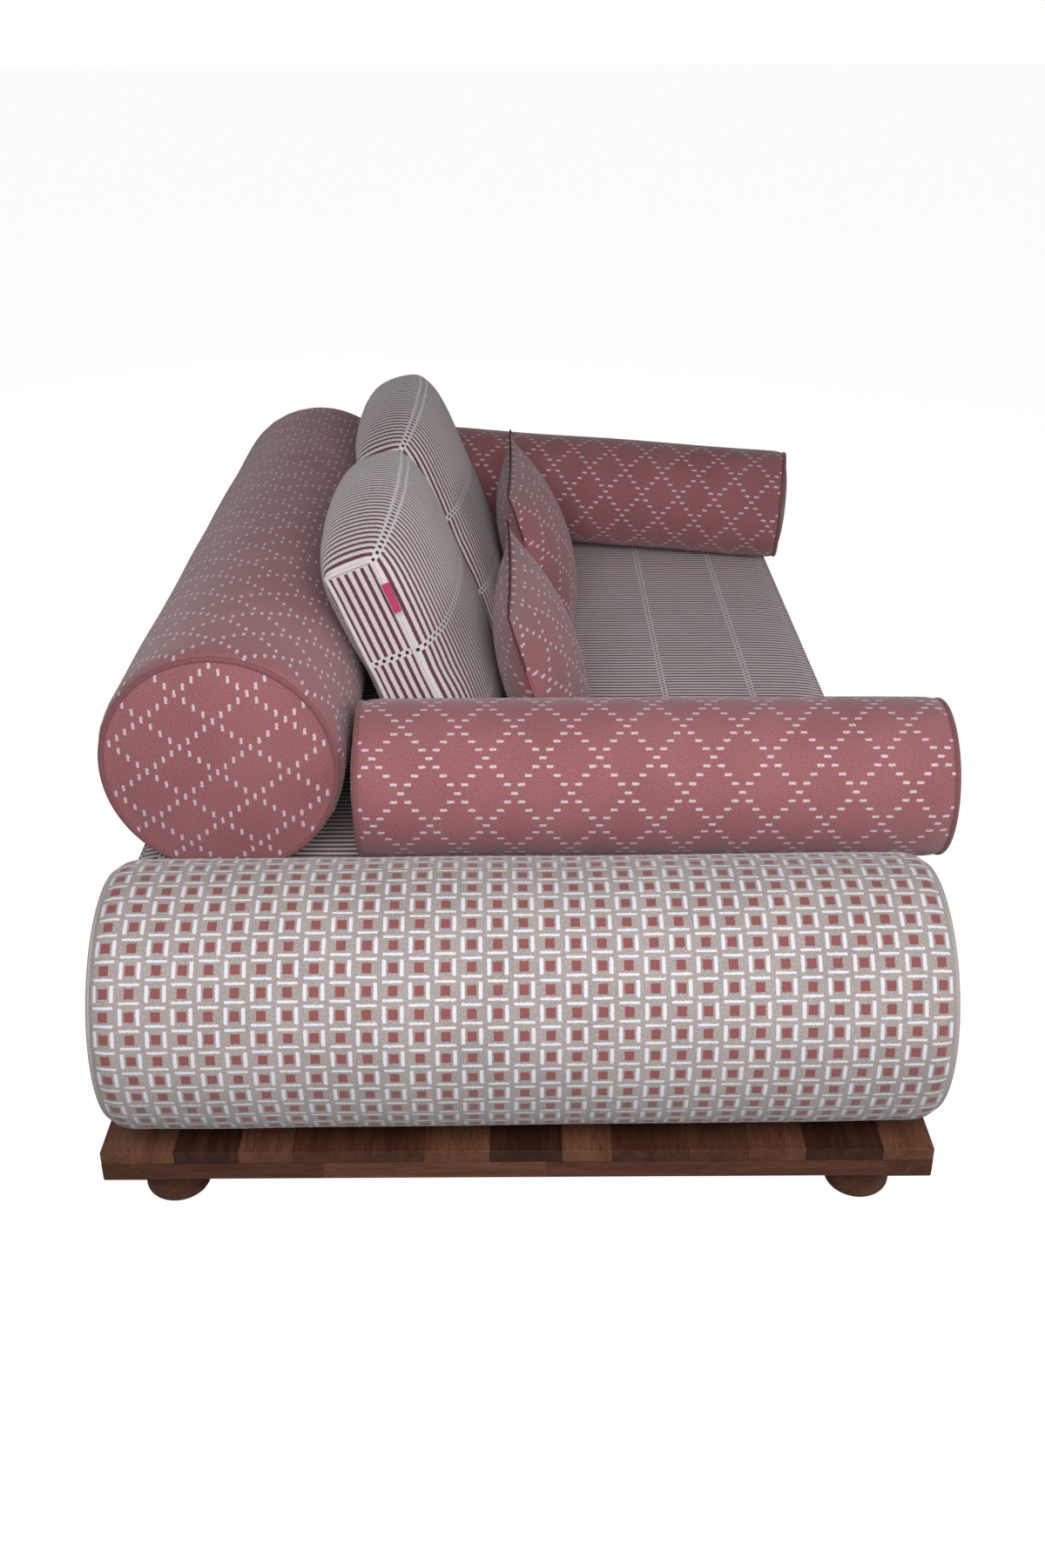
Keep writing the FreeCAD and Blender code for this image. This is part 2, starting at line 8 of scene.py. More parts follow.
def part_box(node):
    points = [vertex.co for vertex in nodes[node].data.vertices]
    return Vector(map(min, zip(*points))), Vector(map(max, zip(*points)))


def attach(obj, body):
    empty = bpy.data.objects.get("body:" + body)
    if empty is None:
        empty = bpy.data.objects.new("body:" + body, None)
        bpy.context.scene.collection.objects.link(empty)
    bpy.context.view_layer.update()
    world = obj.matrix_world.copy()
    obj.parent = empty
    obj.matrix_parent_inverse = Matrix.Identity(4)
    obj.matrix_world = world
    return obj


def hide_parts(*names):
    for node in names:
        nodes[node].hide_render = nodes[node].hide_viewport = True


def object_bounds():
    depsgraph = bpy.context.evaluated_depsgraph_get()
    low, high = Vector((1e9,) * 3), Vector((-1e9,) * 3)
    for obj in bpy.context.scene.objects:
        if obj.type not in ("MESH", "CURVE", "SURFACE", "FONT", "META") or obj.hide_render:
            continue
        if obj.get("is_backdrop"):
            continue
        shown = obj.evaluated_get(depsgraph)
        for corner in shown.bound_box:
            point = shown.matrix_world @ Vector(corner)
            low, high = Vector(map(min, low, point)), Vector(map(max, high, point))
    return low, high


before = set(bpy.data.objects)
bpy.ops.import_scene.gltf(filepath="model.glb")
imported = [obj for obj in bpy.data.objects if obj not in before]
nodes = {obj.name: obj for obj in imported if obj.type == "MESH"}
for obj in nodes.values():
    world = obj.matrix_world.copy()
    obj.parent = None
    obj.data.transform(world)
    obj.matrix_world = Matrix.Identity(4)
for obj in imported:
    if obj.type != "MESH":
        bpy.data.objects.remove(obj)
cad_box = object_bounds()


# The platform's top panel: thirteen walnut staves of uneven width, glued edge to edge and planed flush. Each
# stave keeps its own tone and has a small arris. The panel is glued and screwed to the rails.
STAVE_COUNT = 13
STAVE_WIDTH_SPREAD = 0.22
STAVE_ARRIS = 0.0009
PANEL_LOW, PANEL_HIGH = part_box("top_panel")
WALNUT_DARK = (0.030, 0.0105, 0.0058, 1)
WALNUT_MID = (0.083, 0.0305, 0.0165, 1)
WALNUT_PALE = (0.170, 0.070, 0.038, 1)


def link_or_set(tree, socket, value):
    if isinstance(value, bpy.types.NodeSocket):
        tree.links.new(value, socket)
    else:
        socket.default_value = value


def calc(tree, operation, *values):
    """One Math node, whose result is returned."""
    node = tree.nodes.new("ShaderNodeMath")
    node.operation = operation
    for socket, value in zip(node.inputs, values):
        link_or_set(tree, socket, value)
    return node.outputs[0]


def tuned(tree, kind, inputs, **settings):
    """A node of a kind with its settings and inputs."""
    node = tree.nodes.new(kind)
    for key, value in settings.items():
        setattr(node, key, value)
    for key, value in inputs.items():
        link_or_set(tree, node.inputs[key], value)
    return node


def axes(tree, vector):
    """A vector's three parts."""
    return tuned(tree, "ShaderNodeSeparateXYZ", {0: vector}).outputs


def object_coords(tree):
    return tree.nodes.new("ShaderNodeTexCoord").outputs["Object"]


def noisy(tree, vector, scale, **inputs):
    """A noise texture's value."""
    return tuned(tree, "ShaderNodeTexNoise", {"Vector": vector, "Scale": scale, **inputs}).outputs[0]


def blended(tree, factor, first, second):
    """The colour between two, as a Mix node's result."""
    node = tuned(tree, "ShaderNodeMix", {}, data_type="RGBA")
    link_or_set(tree, node.inputs[0], factor)
    link_or_set(tree, node.inputs[6], first)
    link_or_set(tree, node.inputs[7], second)
    return node.outputs[2]


def new_group(name, inputs, outputs):
    """A shader node group with float inputs (and one Vector) and float outputs."""
    group = bpy.data.node_groups.new(name, "ShaderNodeTree")
    group.interface.new_socket("Vector", in_out="INPUT", socket_type="NodeSocketVector")
    for key, value in inputs.items():
        group.interface.new_socket(key, in_out="INPUT", socket_type="NodeSocketFloat").default_value = value
    for key in outputs:
        group.interface.new_socket(key, in_out="OUTPUT", socket_type="NodeSocketFloat")
    return group, group.nodes.new("NodeGroupInput").outputs, group.nodes.new("NodeGroupOutput").inputs


def placed_group(tree, group, vector, **values):
    node = tree.nodes.new("ShaderNodeGroup")
    node.node_tree = group
    tree.links.new(vector, node.inputs["Vector"])
    for key, value in values.items():
        link_or_set(tree, node.inputs[key.replace("_", " ")], value)
    return node.outputs


def new_material(name, roughness, **surface):
    """A material with its Principled shader and its tree."""
    material = bpy.data.materials.new(name)
    material.use_nodes = True
    shader = material.node_tree.nodes["Principled BSDF"]
    shader.inputs["Roughness"].default_value = roughness
    for key, value in surface.items():
        shader.inputs[key.replace("_", " ")].default_value = value
    return material, material.node_tree, shader


def bumped(tree, shader, height, strength, distance):
    bump = tuned(tree, "ShaderNodeBump", {"Height": height, "Strength": strength, "Distance": distance})
    tree.links.new(bump.outputs[0], shader.inputs["Normal"])


def new_piece(name, bm, material, smooth=True):
    """A new object of the scene, made from a bmesh."""
    mesh = bpy.data.meshes.new(name)
    bm.to_mesh(mesh)
    bm.free()
    piece = bpy.data.objects.new(name, mesh)
    bpy.context.scene.collection.objects.link(piece)
    mesh.materials.append(material)
    for polygon in mesh.polygons:
        polygon.use_smooth = smooth
    return piece


# Wood grain: long streaks and fine pores along the stave, with slow waves of tone. Stretch sets how much
# longer the figure is than it is wide, and the coordinate is turned first where the grain runs along X.
grain_inputs = {"Stretch": 14.0, "Shift": 0.0}
grain_group, grain_in, grain_out = new_group("wood_grain", grain_inputs, ["Figure", "Pores"])
squeeze = tuned(grain_group, "ShaderNodeCombineXYZ", {"X": 1.0, "Z": 1.0})
grain_group.links.new(calc(grain_group, "DIVIDE", 1.0, grain_in["Stretch"]), squeeze.inputs["Y"])
shift = tuned(grain_group, "ShaderNodeCombineXYZ", {axis: grain_in["Shift"] for axis in "XYZ"})
terms = {0: grain_in["Vector"], 1: squeeze.outputs[0], 2: shift.outputs[0]}
apart = tuned(grain_group, "ShaderNodeVectorMath", terms, operation="MULTIPLY_ADD").outputs[0]
broad = noisy(grain_group, apart, 22.0, Detail=5.0, Roughness=0.62, Distortion=0.9)
streak = noisy(grain_group, apart, 150.0, Detail=3.0, Roughness=0.6)
pores = noisy(grain_group, apart, 620.0, Detail=2.0, Roughness=0.5)
broad_part = calc(grain_group, "MULTIPLY", broad, 0.62)
figure = calc(grain_group, "MULTIPLY_ADD", streak, 0.38, broad_part)
grain_group.links.new(figure, grain_out["Figure"])
grain_group.links.new(pores, grain_out["Pores"])


def walnut(name, tone_source, along_x=False, tone_shift=0.0):
    """Oiled walnut. tone_source gives a tree's tone value, 0 dark to 1 pale."""
    material, tree, shader = new_material(name, 0.42, Specular_IOR_Level=0.25)
    coords = object_coords(tree)
    if along_x:
        turn = tuned(tree, "ShaderNodeMapping", {"Vector": coords, "Rotation": (0, 0, math.pi / 2)})
        coords = turn.outputs[0]
    tone = tone_source(tree)
    grain = placed_group(tree, grain_group, coords, Shift=calc(tree, "MULTIPLY", tone, 7.3))
    own_level = calc(tree, "MULTIPLY_ADD", tone, 0.52, -0.33 + tone_shift)
    level = calc(tree, "MULTIPLY_ADD", grain["Figure"], 1.15, own_level)
    ramp = tuned(tree, "ShaderNodeValToRGB", {"Fac": level})
    ramp.color_ramp.elements[0].position = 0.22
    ramp.color_ramp.elements[0].color = WALNUT_DARK
    ramp.color_ramp.elements[1].position = 0.95
    ramp.color_ramp.elements[1].color = WALNUT_PALE
    ramp.color_ramp.elements.new(0.55).color = WALNUT_MID
    dark_pores = calc(tree, "MULTIPLY", calc(tree, "LESS_THAN", grain["Pores"], 0.42), 0.45)
    tree.links.new(blended(tree, dark_pores, ramp.outputs[0], WALNUT_DARK), shader.inputs["Base Color"])
    rough = calc(tree, "MULTIPLY_ADD", grain["Figure"], 0.22, 0.34)
    tree.links.new(rough, shader.inputs["Roughness"])
    bumped(tree, shader, grain["Pores"], 0.25, 0.0006)
    return material


def stave_tone(tree):
    """The tone kept on each stave as an attribute."""
    return tuned(tree, "ShaderNodeAttribute", {}, attribute_name="tone").outputs["Fac"]


stave_material = walnut("walnut_staves", stave_tone)
shares = [1 + STAVE_WIDTH_SPREAD * math.sin(2.4 * i + 0.7) for i in range(STAVE_COUNT)]
panel_width = PANEL_HIGH[0] - PANEL_LOW[0]
bm = bmesh.new()
left = PANEL_LOW[0]
for i, share in enumerate(shares):
    width = share / sum(shares) * panel_width
    size = Vector((width, PANEL_HIGH[1] - PANEL_LOW[1], PANEL_HIGH[2] - PANEL_LOW[2]))
    centre = (Vector(PANEL_LOW) + Vector(PANEL_HIGH)) / 2
    centre.x = left + width / 2
    place = Matrix.Translation(centre) @ Matrix.Diagonal((*size, 1))
    made = bmesh.ops.create_cube(bm, size=1.0, matrix=place)
    edges = list({edge for vert in made["verts"] for edge in vert.link_edges})
    bmesh.ops.bevel(bm, geom=edges, offset=STAVE_ARRIS, segments=2, profile=0.5, affect="EDGES", material=-1)
    left += width
faces_per_stave = len(bm.faces) // STAVE_COUNT
panel = new_piece("platform_top_staves", bm, stave_material, smooth=False)
tone_values = panel.data.attributes.new("tone", "FLOAT", "FACE").data
for polygon in panel.data.polygons:
    tone_values[polygon.index].value = 0.5 + 0.5 * math.sin(3.7 * (polygon.index // faces_per_stave) + 1.3)
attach(panel, "platform")
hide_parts("top_panel")


# The frame under the panel: two long rails, two end rails between them, three bearers and four leg blocks of
# the same timber, glued and screwed. The end rails are pieced from shorter lengths of differing tone.
RAIL_JOINTS = ((-0.273, 0.25), (0.008, 0.75), (9.0, 0.45))  # up to this x, this tone


def pieced_tone(tree):
    """A tone that changes at the glued joints along an end rail."""
    x = axes(tree, object_coords(tree))["X"]
    tone = RAIL_JOINTS[0][1]
    for (joint, before), (_, after) in zip(RAIL_JOINTS, RAIL_JOINTS[1:]):
        tone = calc(tree, "MULTIPLY_ADD", calc(tree, "GREATER_THAN", x, joint), after - before, tone)
    return tone


def steady_tone(value):
    return lambda tree: value


def finished(node, material):
    """Gives a carried-over CAD node its material."""
    for material_slot in nodes[node].material_slots:
        material_slot.material = material


end_rail_material = walnut("walnut_end_rails", pieced_tone, along_x=True, tone_shift=0.12)
long_rail_material = walnut("walnut_long_rails", steady_tone(0.4), tone_shift=0.05)
inner_material = walnut("walnut_bearers", steady_tone(0.8), along_x=True, tone_shift=0.22)
for node in ("end_rail_near", "end_rail_far"):
    finished(node, end_rail_material)
for node in ("long_rail_back", "long_rail_front"):
    finished(node, long_rail_material)
for node in ("bearer_near", "bearer_middle", "bearer_far", "leg_blocks"):
    finished(node, inner_material)


# Six feet turned from solid walnut, short and wide, with a rounded lower edge. Each hangs on a steel bolt
# that a captive nut holds, and stands on a felt glide.
FOOT_RADIUS = 0.042
FOOT_ROUND = 0.013
FOOT_STEPS = 48
FOOT_PROFILE_STEPS = 7
foot_material = walnut("walnut_feet", steady_tone(0.55), tone_shift=0.08)


def in_order(bm):
    """Numbers a mesh's parts by their place, so that every run numbers them alike."""
    whole = ((bm.verts, lambda vert: [round(part, 5) for part in vert.co]),
             (bm.edges, lambda edge: sorted(vert.index for vert in edge.verts)),
             (bm.faces, lambda face: sorted(vert.index for vert in face.verts)))
    for parts_of_kind, key in whole:
        ranks = {part: rank for rank, part in enumerate(sorted(parts_of_kind, key=key))}
        parts_of_kind.sort(key=lambda part: ranks[part])
        parts_of_kind.index_update()


def turned(bm, profile, centre, axis, steps):
    """Spins a profile, given as points, round an axis through centre."""
    first = [bm.verts.new(point) for point in profile]
    edges = [bm.edges.new(pair) for pair in zip(first, first[1:])]
    bmesh.ops.spin(bm, geom=first + edges, cent=centre, axis=axis, angle=2 * math.pi, steps=steps,
                   use_merge=True)
    bmesh.ops.remove_doubles(bm, verts=bm.verts, dist=1e-6)
    in_order(bm)


for pair in ("near", "middle", "far"):
    low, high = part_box(f"feet_{pair}")
    bm = bmesh.new()
    for x in (low[0] + FOOT_RADIUS, high[0] - FOOT_RADIUS):
        centre = Vector((x, (low[1] + high[1]) / 2, 0))
        profile = [centre + Vector((0, 0, low[2]))]
        for step in range(FOOT_PROFILE_STEPS + 1):
            angle = math.pi / 2 * step / FOOT_PROFILE_STEPS
            out = FOOT_RADIUS - FOOT_ROUND + FOOT_ROUND * math.sin(angle)
            profile.append(centre + Vector((out, 0, low[2] + FOOT_ROUND * (1 - math.cos(angle)))))
        profile.append(centre + Vector((FOOT_RADIUS, 0, high[2] - 0.001)))
        profile.append(centre + Vector((FOOT_RADIUS - 0.001, 0, high[2])))
        profile.append(centre + Vector((0, 0, high[2])))
        turned(bm, profile, centre, (0, 0, 1), FOOT_STEPS)
    bmesh.ops.recalc_face_normals(bm, faces=bm.faces)
    feet = new_piece(f"turned_feet_{pair}", bm, foot_material)
    feet.modifiers.new("hard_edges", "EDGE_SPLIT").split_angle = math.radians(50)
    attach(feet, "platform")
    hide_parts(f"feet_{pair}")



def flecked(name, roughness, scale, dark, pale, relief=0.0, **surface):
    """A material whose colour varies in flecks between two, with relief as the flecks' bump."""
    material, tree, shader = new_material(name, roughness, **surface)
    flecks = noisy(tree, object_coords(tree), scale)
    tree.links.new(blended(tree, flecks, (*dark, 1), (*pale, 1)), shader.inputs["Base Color"])
    if relief:
        bumped(tree, shader, flecks, relief, 0.0004)
    return material


felt_material = flecked("felt", 0.95, 700.0, (0.03, 0.026, 0.024), (0.12, 0.11, 0.10))
finished("foot_glides", felt_material)
zinc_material = flecked("zinc_plate", 0.35, 160.0, (0.45, 0.44, 0.42), (0.66, 0.65, 0.63), Metallic=1.0)
for node in ("hanger_bolts", "captive_nuts"):
    finished(node, zinc_material)


# Cloth. The weave group gives the threads' relief and a heathered tone on a piece's own UV map, in metres.
# The ragged group shakes a pattern's edge by about a thread, as a jacquard loom leaves it.
weave_group, weave_in, weave_out = new_group("weave", {"Thread": 0.0011}, ["Relief", "Heather"])
waves = []
for part in axes(weave_group, weave_in["Vector"])[:2]:
    turn = calc(weave_group, "MULTIPLY", calc(weave_group, "DIVIDE", part, weave_in["Thread"]), math.pi)
    waves.append(calc(weave_group, "SINE", turn))
crossing = calc(weave_group, "MULTIPLY", *waves)
flecks = noisy(weave_group, weave_in["Vector"], 420.0, Detail=2.0, Roughness=0.7)
clouds = noisy(weave_group, weave_in["Vector"], 9.0, Detail=2.0)
relief = calc(weave_group, "MULTIPLY_ADD", crossing, 0.35, flecks)
fleck_part = calc(weave_group, "MULTIPLY", flecks, 0.75)
heather = calc(weave_group, "MULTIPLY_ADD", clouds, 0.25, fleck_part)
weave_group.links.new(relief, weave_out["Relief"])
weave_group.links.new(heather, weave_out["Heather"])

ragged_group = bpy.data.node_groups.new("ragged_edges", "ShaderNodeTree")
ragged_group.interface.new_socket("Vector", in_out="INPUT", socket_type="NodeSocketVector")
ragged_group.interface.new_socket("Amount", in_out="INPUT", socket_type="NodeSocketFloat")
ragged_group.interface.new_socket("Vector", in_out="OUTPUT", socket_type="NodeSocketVector")
ragged_in = ragged_group.nodes.new("NodeGroupInput").outputs
threads = tuned(ragged_group, "ShaderNodeTexNoise",
                {"Vector": ragged_in["Vector"], "Scale": 900.0, "Detail": 0.0})
centred = tuned(ragged_group, "ShaderNodeVectorMath", {0: threads.outputs["Color"], 1: (0.5, 0.5, 0.5)},
                operation="SUBTRACT")
shaken = tuned(ragged_group, "ShaderNodeVectorMath", {0: centred.outputs[0]}, operation="SCALE")
ragged_group.links.new(ragged_in["Amount"], shaken.inputs["Scale"])
ragged = tuned(ragged_group, "ShaderNodeVectorMath", {0: ragged_in["Vector"], 1: shaken.outputs[0]},
               operation="ADD")
ragged_group.links.new(ragged.outputs[0], ragged_group.nodes.new("NodeGroupOutput").inputs[0])


def nearest(tree, coordinate, pitch):
    """The index of the nearest line of a row of lines, and the distance to it in metres."""
    index = calc(tree, "ROUND", calc(tree, "DIVIDE", coordinate, pitch))
    off = calc(tree, "ABSOLUTE", calc(tree, "MULTIPLY_ADD", index, -pitch, coordinate))
    return index, off


def within(tree, distance, limit):
    return calc(tree, "LESS_THAN", distance, limit)


def patch(tree, off_along, half_length, off_across, half_width):
    """1 within a small rectangle, 0 outside it."""
    return calc(tree, "MULTIPLY", within(tree, off_along, half_length), within(tree, off_across, half_width))


# The rose cloth of the back and arm bolsters and the scatter cushions: a dusty-rose twill with a trellis of
# short pale lilac dashes, one at each crossing and four steps from one crossing to the next.
DASH_PITCH_ALONG = 0.00919
DASH_PITCH_ACROSS = 0.01168
DASH_STEPS = 8
DASH_HALF_LENGTH = 0.0045
DASH_HALF_WIDTH = 0.0019
trellis_group, trellis_in, trellis_out = new_group("trellis", {}, ["Dashes"])
parts = axes(trellis_group, trellis_in["Vector"])
column, column_off = nearest(trellis_group, parts[0], DASH_PITCH_ALONG)
row, row_off = nearest(trellis_group, parts[1], DASH_PITCH_ACROSS)
on_lines = []
for operation in ("ADD", "SUBTRACT"):
    diagonal = calc(trellis_group, "FLOORED_MODULO", calc(trellis_group, operation, column, row), DASH_STEPS)
    on_lines.append(calc(trellis_group, "LESS_THAN", calc(trellis_group, "ABSOLUTE", diagonal), 0.5))
on_line = calc(trellis_group, "MAXIMUM", *on_lines)
dash = patch(trellis_group, column_off, DASH_HALF_LENGTH, row_off, DASH_HALF_WIDTH)
trellis_group.links.new(calc(trellis_group, "MULTIPLY", on_line, dash), trellis_out["Dashes"])

ROSE_DEEP = (0.205, 0.066, 0.072, 1)
ROSE_PALE = (0.375, 0.150, 0.163, 1)
ROSE_DASH = (0.60, 0.49, 0.54, 1)


def cloth(name):
    """A cloth's material, tree and shader, its UV coordinate with ragged edges, and its weave."""
    material, tree, shader = new_material(name, 0.86, Sheen_Weight=0.25, Sheen_Roughness=0.5,
                                          Specular_IOR_Level=0.25)
    uv = tuned(tree, "ShaderNodeUVMap", {}, uv_map="cloth").outputs[0]
    shaken_uv = placed_group(tree, ragged_group, uv, Amount=0.0022)[0]
    weave = placed_group(tree, weave_group, uv)
    return material, tree, shader, shaken_uv, weave


def heathered(tree, weave, dark, pale):
    """A cloth's ground colour, in two tones of yarn."""
    return blended(tree, calc(tree, "MULTIPLY_ADD", weave["Heather"], 2.6, -0.8), dark, pale)


rose_material, tree, shader, shaken_uv, weave = cloth("rose_trellis")
dashes = placed_group(tree, trellis_group, shaken_uv)["Dashes"]
ground = heathered(tree, weave, ROSE_DEEP, ROSE_PALE)
tree.links.new(blended(tree, dashes, ground, ROSE_DASH), shader.inputs["Base Color"])
bumped(tree, shader, calc(tree, "MULTIPLY_ADD", dashes, 0.8, weave["Relief"]), 0.5, 0.0005)

rose_piping_material = flecked("rose_piping", 0.88, 600.0, (0.10, 0.032, 0.036), (0.30, 0.105, 0.115),
                               Sheen_Weight=0.2)
# The seam cord's dark rose is painted shade: it stands for the shade in the scatter cushions' sunk seam.
seam_shade_material = flecked("rose_seam_painted_shade", 0.9, 500.0, (0.05, 0.012, 0.014), (0.12, 0.035, 0.04))


# The cream cloth of the end bolsters: a greige ground with a grid of brick-red squares. Every other square
# has a white bar at each side, and those between them have one above and below.
CHECK_ALONG = 0.0305
CHECK_AROUND = 0.0273
SQUARE_HALF = (0.0056, 0.0062)  # along, around
SIDE_BAR_OFF, LEVEL_BAR_OFF = 0.0103, 0.0108
SIDE_BAR_HALF = (0.0022, 0.0100)
LEVEL_BAR_HALF = (0.0120, 0.0016)
check_group, check_in, check_out = new_group("check", {}, ["Squares", "Bars"])
parts = axes(check_group, check_in["Vector"])
column, off_along = nearest(check_group, parts[0], CHECK_ALONG)
row, off_around = nearest(check_group, parts[1], CHECK_AROUND)
odd = calc(check_group, "FLOORED_MODULO", calc(check_group, "ADD", column, row), 2.0)
odd = calc(check_group, "GREATER_THAN", odd, 0.5)
square = patch(check_group, off_along, SQUARE_HALF[0], off_around, SQUARE_HALF[1])
side_off = calc(check_group, "ABSOLUTE", calc(check_group, "SUBTRACT", off_along, SIDE_BAR_OFF))
side_bar = patch(check_group, side_off, SIDE_BAR_HALF[0], off_around, SIDE_BAR_HALF[1])
level_off = calc(check_group, "ABSOLUTE", calc(check_group, "SUBTRACT", off_around, LEVEL_BAR_OFF))
level_bar = patch(check_group, off_along, LEVEL_BAR_HALF[0], level_off, LEVEL_BAR_HALF[1])
side_bar = calc(check_group, "MULTIPLY", side_bar, calc(check_group, "SUBTRACT", 1.0, odd))
level_bar = calc(check_group, "MULTIPLY", level_bar, odd)
check_group.links.new(square, check_out["Squares"])
check_group.links.new(calc(check_group, "MAXIMUM", side_bar, level_bar), check_out["Bars"])

cream_material, tree, shader, shaken_uv, weave = cloth("cream_check")
check = placed_group(tree, check_group, shaken_uv)
ground = heathered(tree, weave, (0.21, 0.182, 0.172, 1), (0.45, 0.40, 0.385, 1))
barred = blended(tree, check["Bars"], ground, (0.66, 0.65, 0.71, 1))
tree.links.new(blended(tree, check["Squares"], barred, (0.235, 0.078, 0.074, 1)), shader.inputs["Base Color"])
raised = calc(tree, "ADD", check["Bars"], calc(tree, "MULTIPLY", check["Squares"], 0.6))
bumped(tree, shader, calc(tree, "ADD", raised, weave["Relief"]), 0.5, 0.0005)

greige_material = flecked("greige_piping", 0.88, 600.0, (0.22, 0.18, 0.16), (0.50, 0.45, 0.42),
                          relief=0.4, Sheen_Weight=0.2)


# The bolsters: a tight fibre filling in a sleeve closed by two round end pieces, with a cord piped into each
# end seam. All five lie loose. The end and arm bolsters have the photo's lengths, just under the source's.
CORD_RADIUS = 0.0042
ROUND_LENGTH = 0.028
DISC_BULGE = 0.012
BOLSTER_STEPS = 96
SLEEVE_STEP = 0.022
DOME_RINGS = 7
ROUND_RINGS = 5
SEAM_WIDTH = 0.003
RING_POINTS = 120
SLACK = 0.0016
GATHER = 0.0011


def tube(name, points, radius, material, closed=False):
    """A cord along points."""
    curve = bpy.data.curves.new(name, "CURVE")
    curve.dimensions = "3D"
    curve.bevel_depth = radius
    curve.bevel_resolution = 3
    spline = curve.splines.new("POLY")
    spline.points.add(len(points) - 1)
    for spot, point in zip(spline.points, points):
        spot.co = (*point, 1)
    spline.use_cyclic_u = closed
    holder = bpy.data.objects.new(name, curve)
    mesh = bpy.data.meshes.new_from_object(holder)
    piece = bpy.data.objects.new(name, mesh)
    bpy.context.scene.collection.objects.link(piece)
    mesh.materials.clear()
    mesh.materials.append(material)
    for polygon in mesh.polygons:
        polygon.use_smooth = True
    bpy.data.objects.remove(holder)
    bpy.data.curves.remove(curve)
    return piece


def soft_noise(point, size):
    return noise.noise(Vector(point) / size)


def bolster(name, material, cord_material, radius, length, drop, pose, seed):
    """A bolster along X, posed by a matrix, with its two piping cords. Its ends narrow by drop."""
    half = length / 2 - DISC_BULGE
    neck = radius - drop
    shoulder = half - ROUND_LENGTH
    dome = []
    for i in range(DOME_RINGS + 1):
        share = i / DOME_RINGS
        dome.append((half + DISC_BULGE * (1 - share ** 3), (neck - SEAM_WIDTH) * share))
    rounding = []
    for i in range(ROUND_RINGS + 1):
        angle = math.pi / 2 * i / ROUND_RINGS
        rounding.append((shoulder + ROUND_LENGTH * math.cos(angle), neck + drop * math.sin(angle)))
    side = dome + rounding
    body_steps = int(2 * shoulder / SLEEVE_STEP)
    middle = [(shoulder - 2 * shoulder * i / body_steps, radius) for i in range(1, body_steps)]
    outline = side + middle + [(-x, r) for x, r in reversed(side)]
    bm = bmesh.new()
    turned(bm, [Vector((x, 0, r)) for x, r in outline], (0, 0, 0), (1, 0, 0), BOLSTER_STEPS)
    bmesh.ops.recalc_face_normals(bm, faces=bm.faces)
    uv_layer = bm.loops.layers.uv.new("cloth")
    for face in bm.faces:
        centre = face.calc_center_median()
        on_end = abs(face.normal.x) > 0.85
        # the angle round the bolster is 0 at the top
        centre_angle = math.atan2(centre.y, centre.z)
        for loop in face.loops:
            co = loop.vert.co
            if on_end:
                loop[uv_layer].uv = (co.z, co.y)
                continue
            angle = math.atan2(co.y, co.z)
            angle += 2 * math.pi * round((centre_angle - angle) / (2 * math.pi))
            loop[uv_layer].uv = (co.x, angle * radius)
    for vert in bm.verts:
        co = vert.co
        out = Vector((0, co.y, co.z))
        if out.length < 1e-6:
            continue
        to_end = half - abs(co.x)
        fade = min(1.0, max(0.0, to_end / 0.06))
        slack = SLACK * soft_noise(co + Vector((seed, 0, 0)), 0.16) * fade
        gathers = GATHER * soft_noise(Vector((seed, math.atan2(co.y, co.z) * radius / 0.018, 0)), 1.0)
        gathers *= math.exp(-((to_end - 0.012) / 0.022) ** 2) if to_end > 0.001 else 0.0
        vert.co = co + out.normalized() * (slack + gathers - SLACK)
    bmesh.ops.transform(bm, matrix=pose, verts=bm.verts)
    piece = new_piece(f"{name}_cover", bm, material)
    turns = [2 * math.pi * i / RING_POINTS for i in range(RING_POINTS)]
    ring = [Vector((0, neck * math.sin(turn), neck * math.cos(turn))) for turn in turns]
    for end, side in (("left", -1), ("right", 1)):
        points = [pose @ (point + Vector((side * (half - 0.001), 0, 0))) for point in ring]
        cord = tube(f"{name}_piping_{end}", points, CORD_RADIUS, cord_material, closed=True)
        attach(cord, name)
    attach(piece, name)
    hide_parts(f"{name}_sleeve", f"{name}_end_discs", f"{name}_filling")
    return piece


def middle_of(node):
    low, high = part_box(node)
    return (Vector(low) + Vector(high)) / 2


END_RADIUS = 0.170
END_LENGTH = 1.040
END_SHIFT = 0.0075
END_DROP = 0.016
END_YAW = math.radians(0.6)
BACK_RADIUS = 0.163
BACK_LENGTH = 1.290
BACK_DROP = 0.010
ARM_RADIUS = 0.110
ARM_LENGTH = 0.806
ARM_SHIFT = -0.010
ARM_DROP = 0.007
FAR_ARM_YAW = math.radians(-7.9)
FAR_ARM_TILT = math.radians(2.3)


def laid(node, yaw, tilt=0.0, shift=0.0):
    turn = Matrix.Rotation(yaw, 4, "Z") @ Matrix.Rotation(tilt, 4, "Y")
    return Matrix.Translation(middle_of(node)) @ turn @ Matrix.Translation((shift, 0, 0))


def cream_bolster(name, seed):
    pose = laid(f"{name}_sleeve", END_YAW, shift=END_SHIFT)
    bolster(name, cream_material, greige_material, END_RADIUS, END_LENGTH, END_DROP,
            pose, seed)


def rose_bolster(name, radius, length, drop, pose, seed):
    bolster(name, rose_material, rose_piping_material, radius, length, drop, pose, seed)


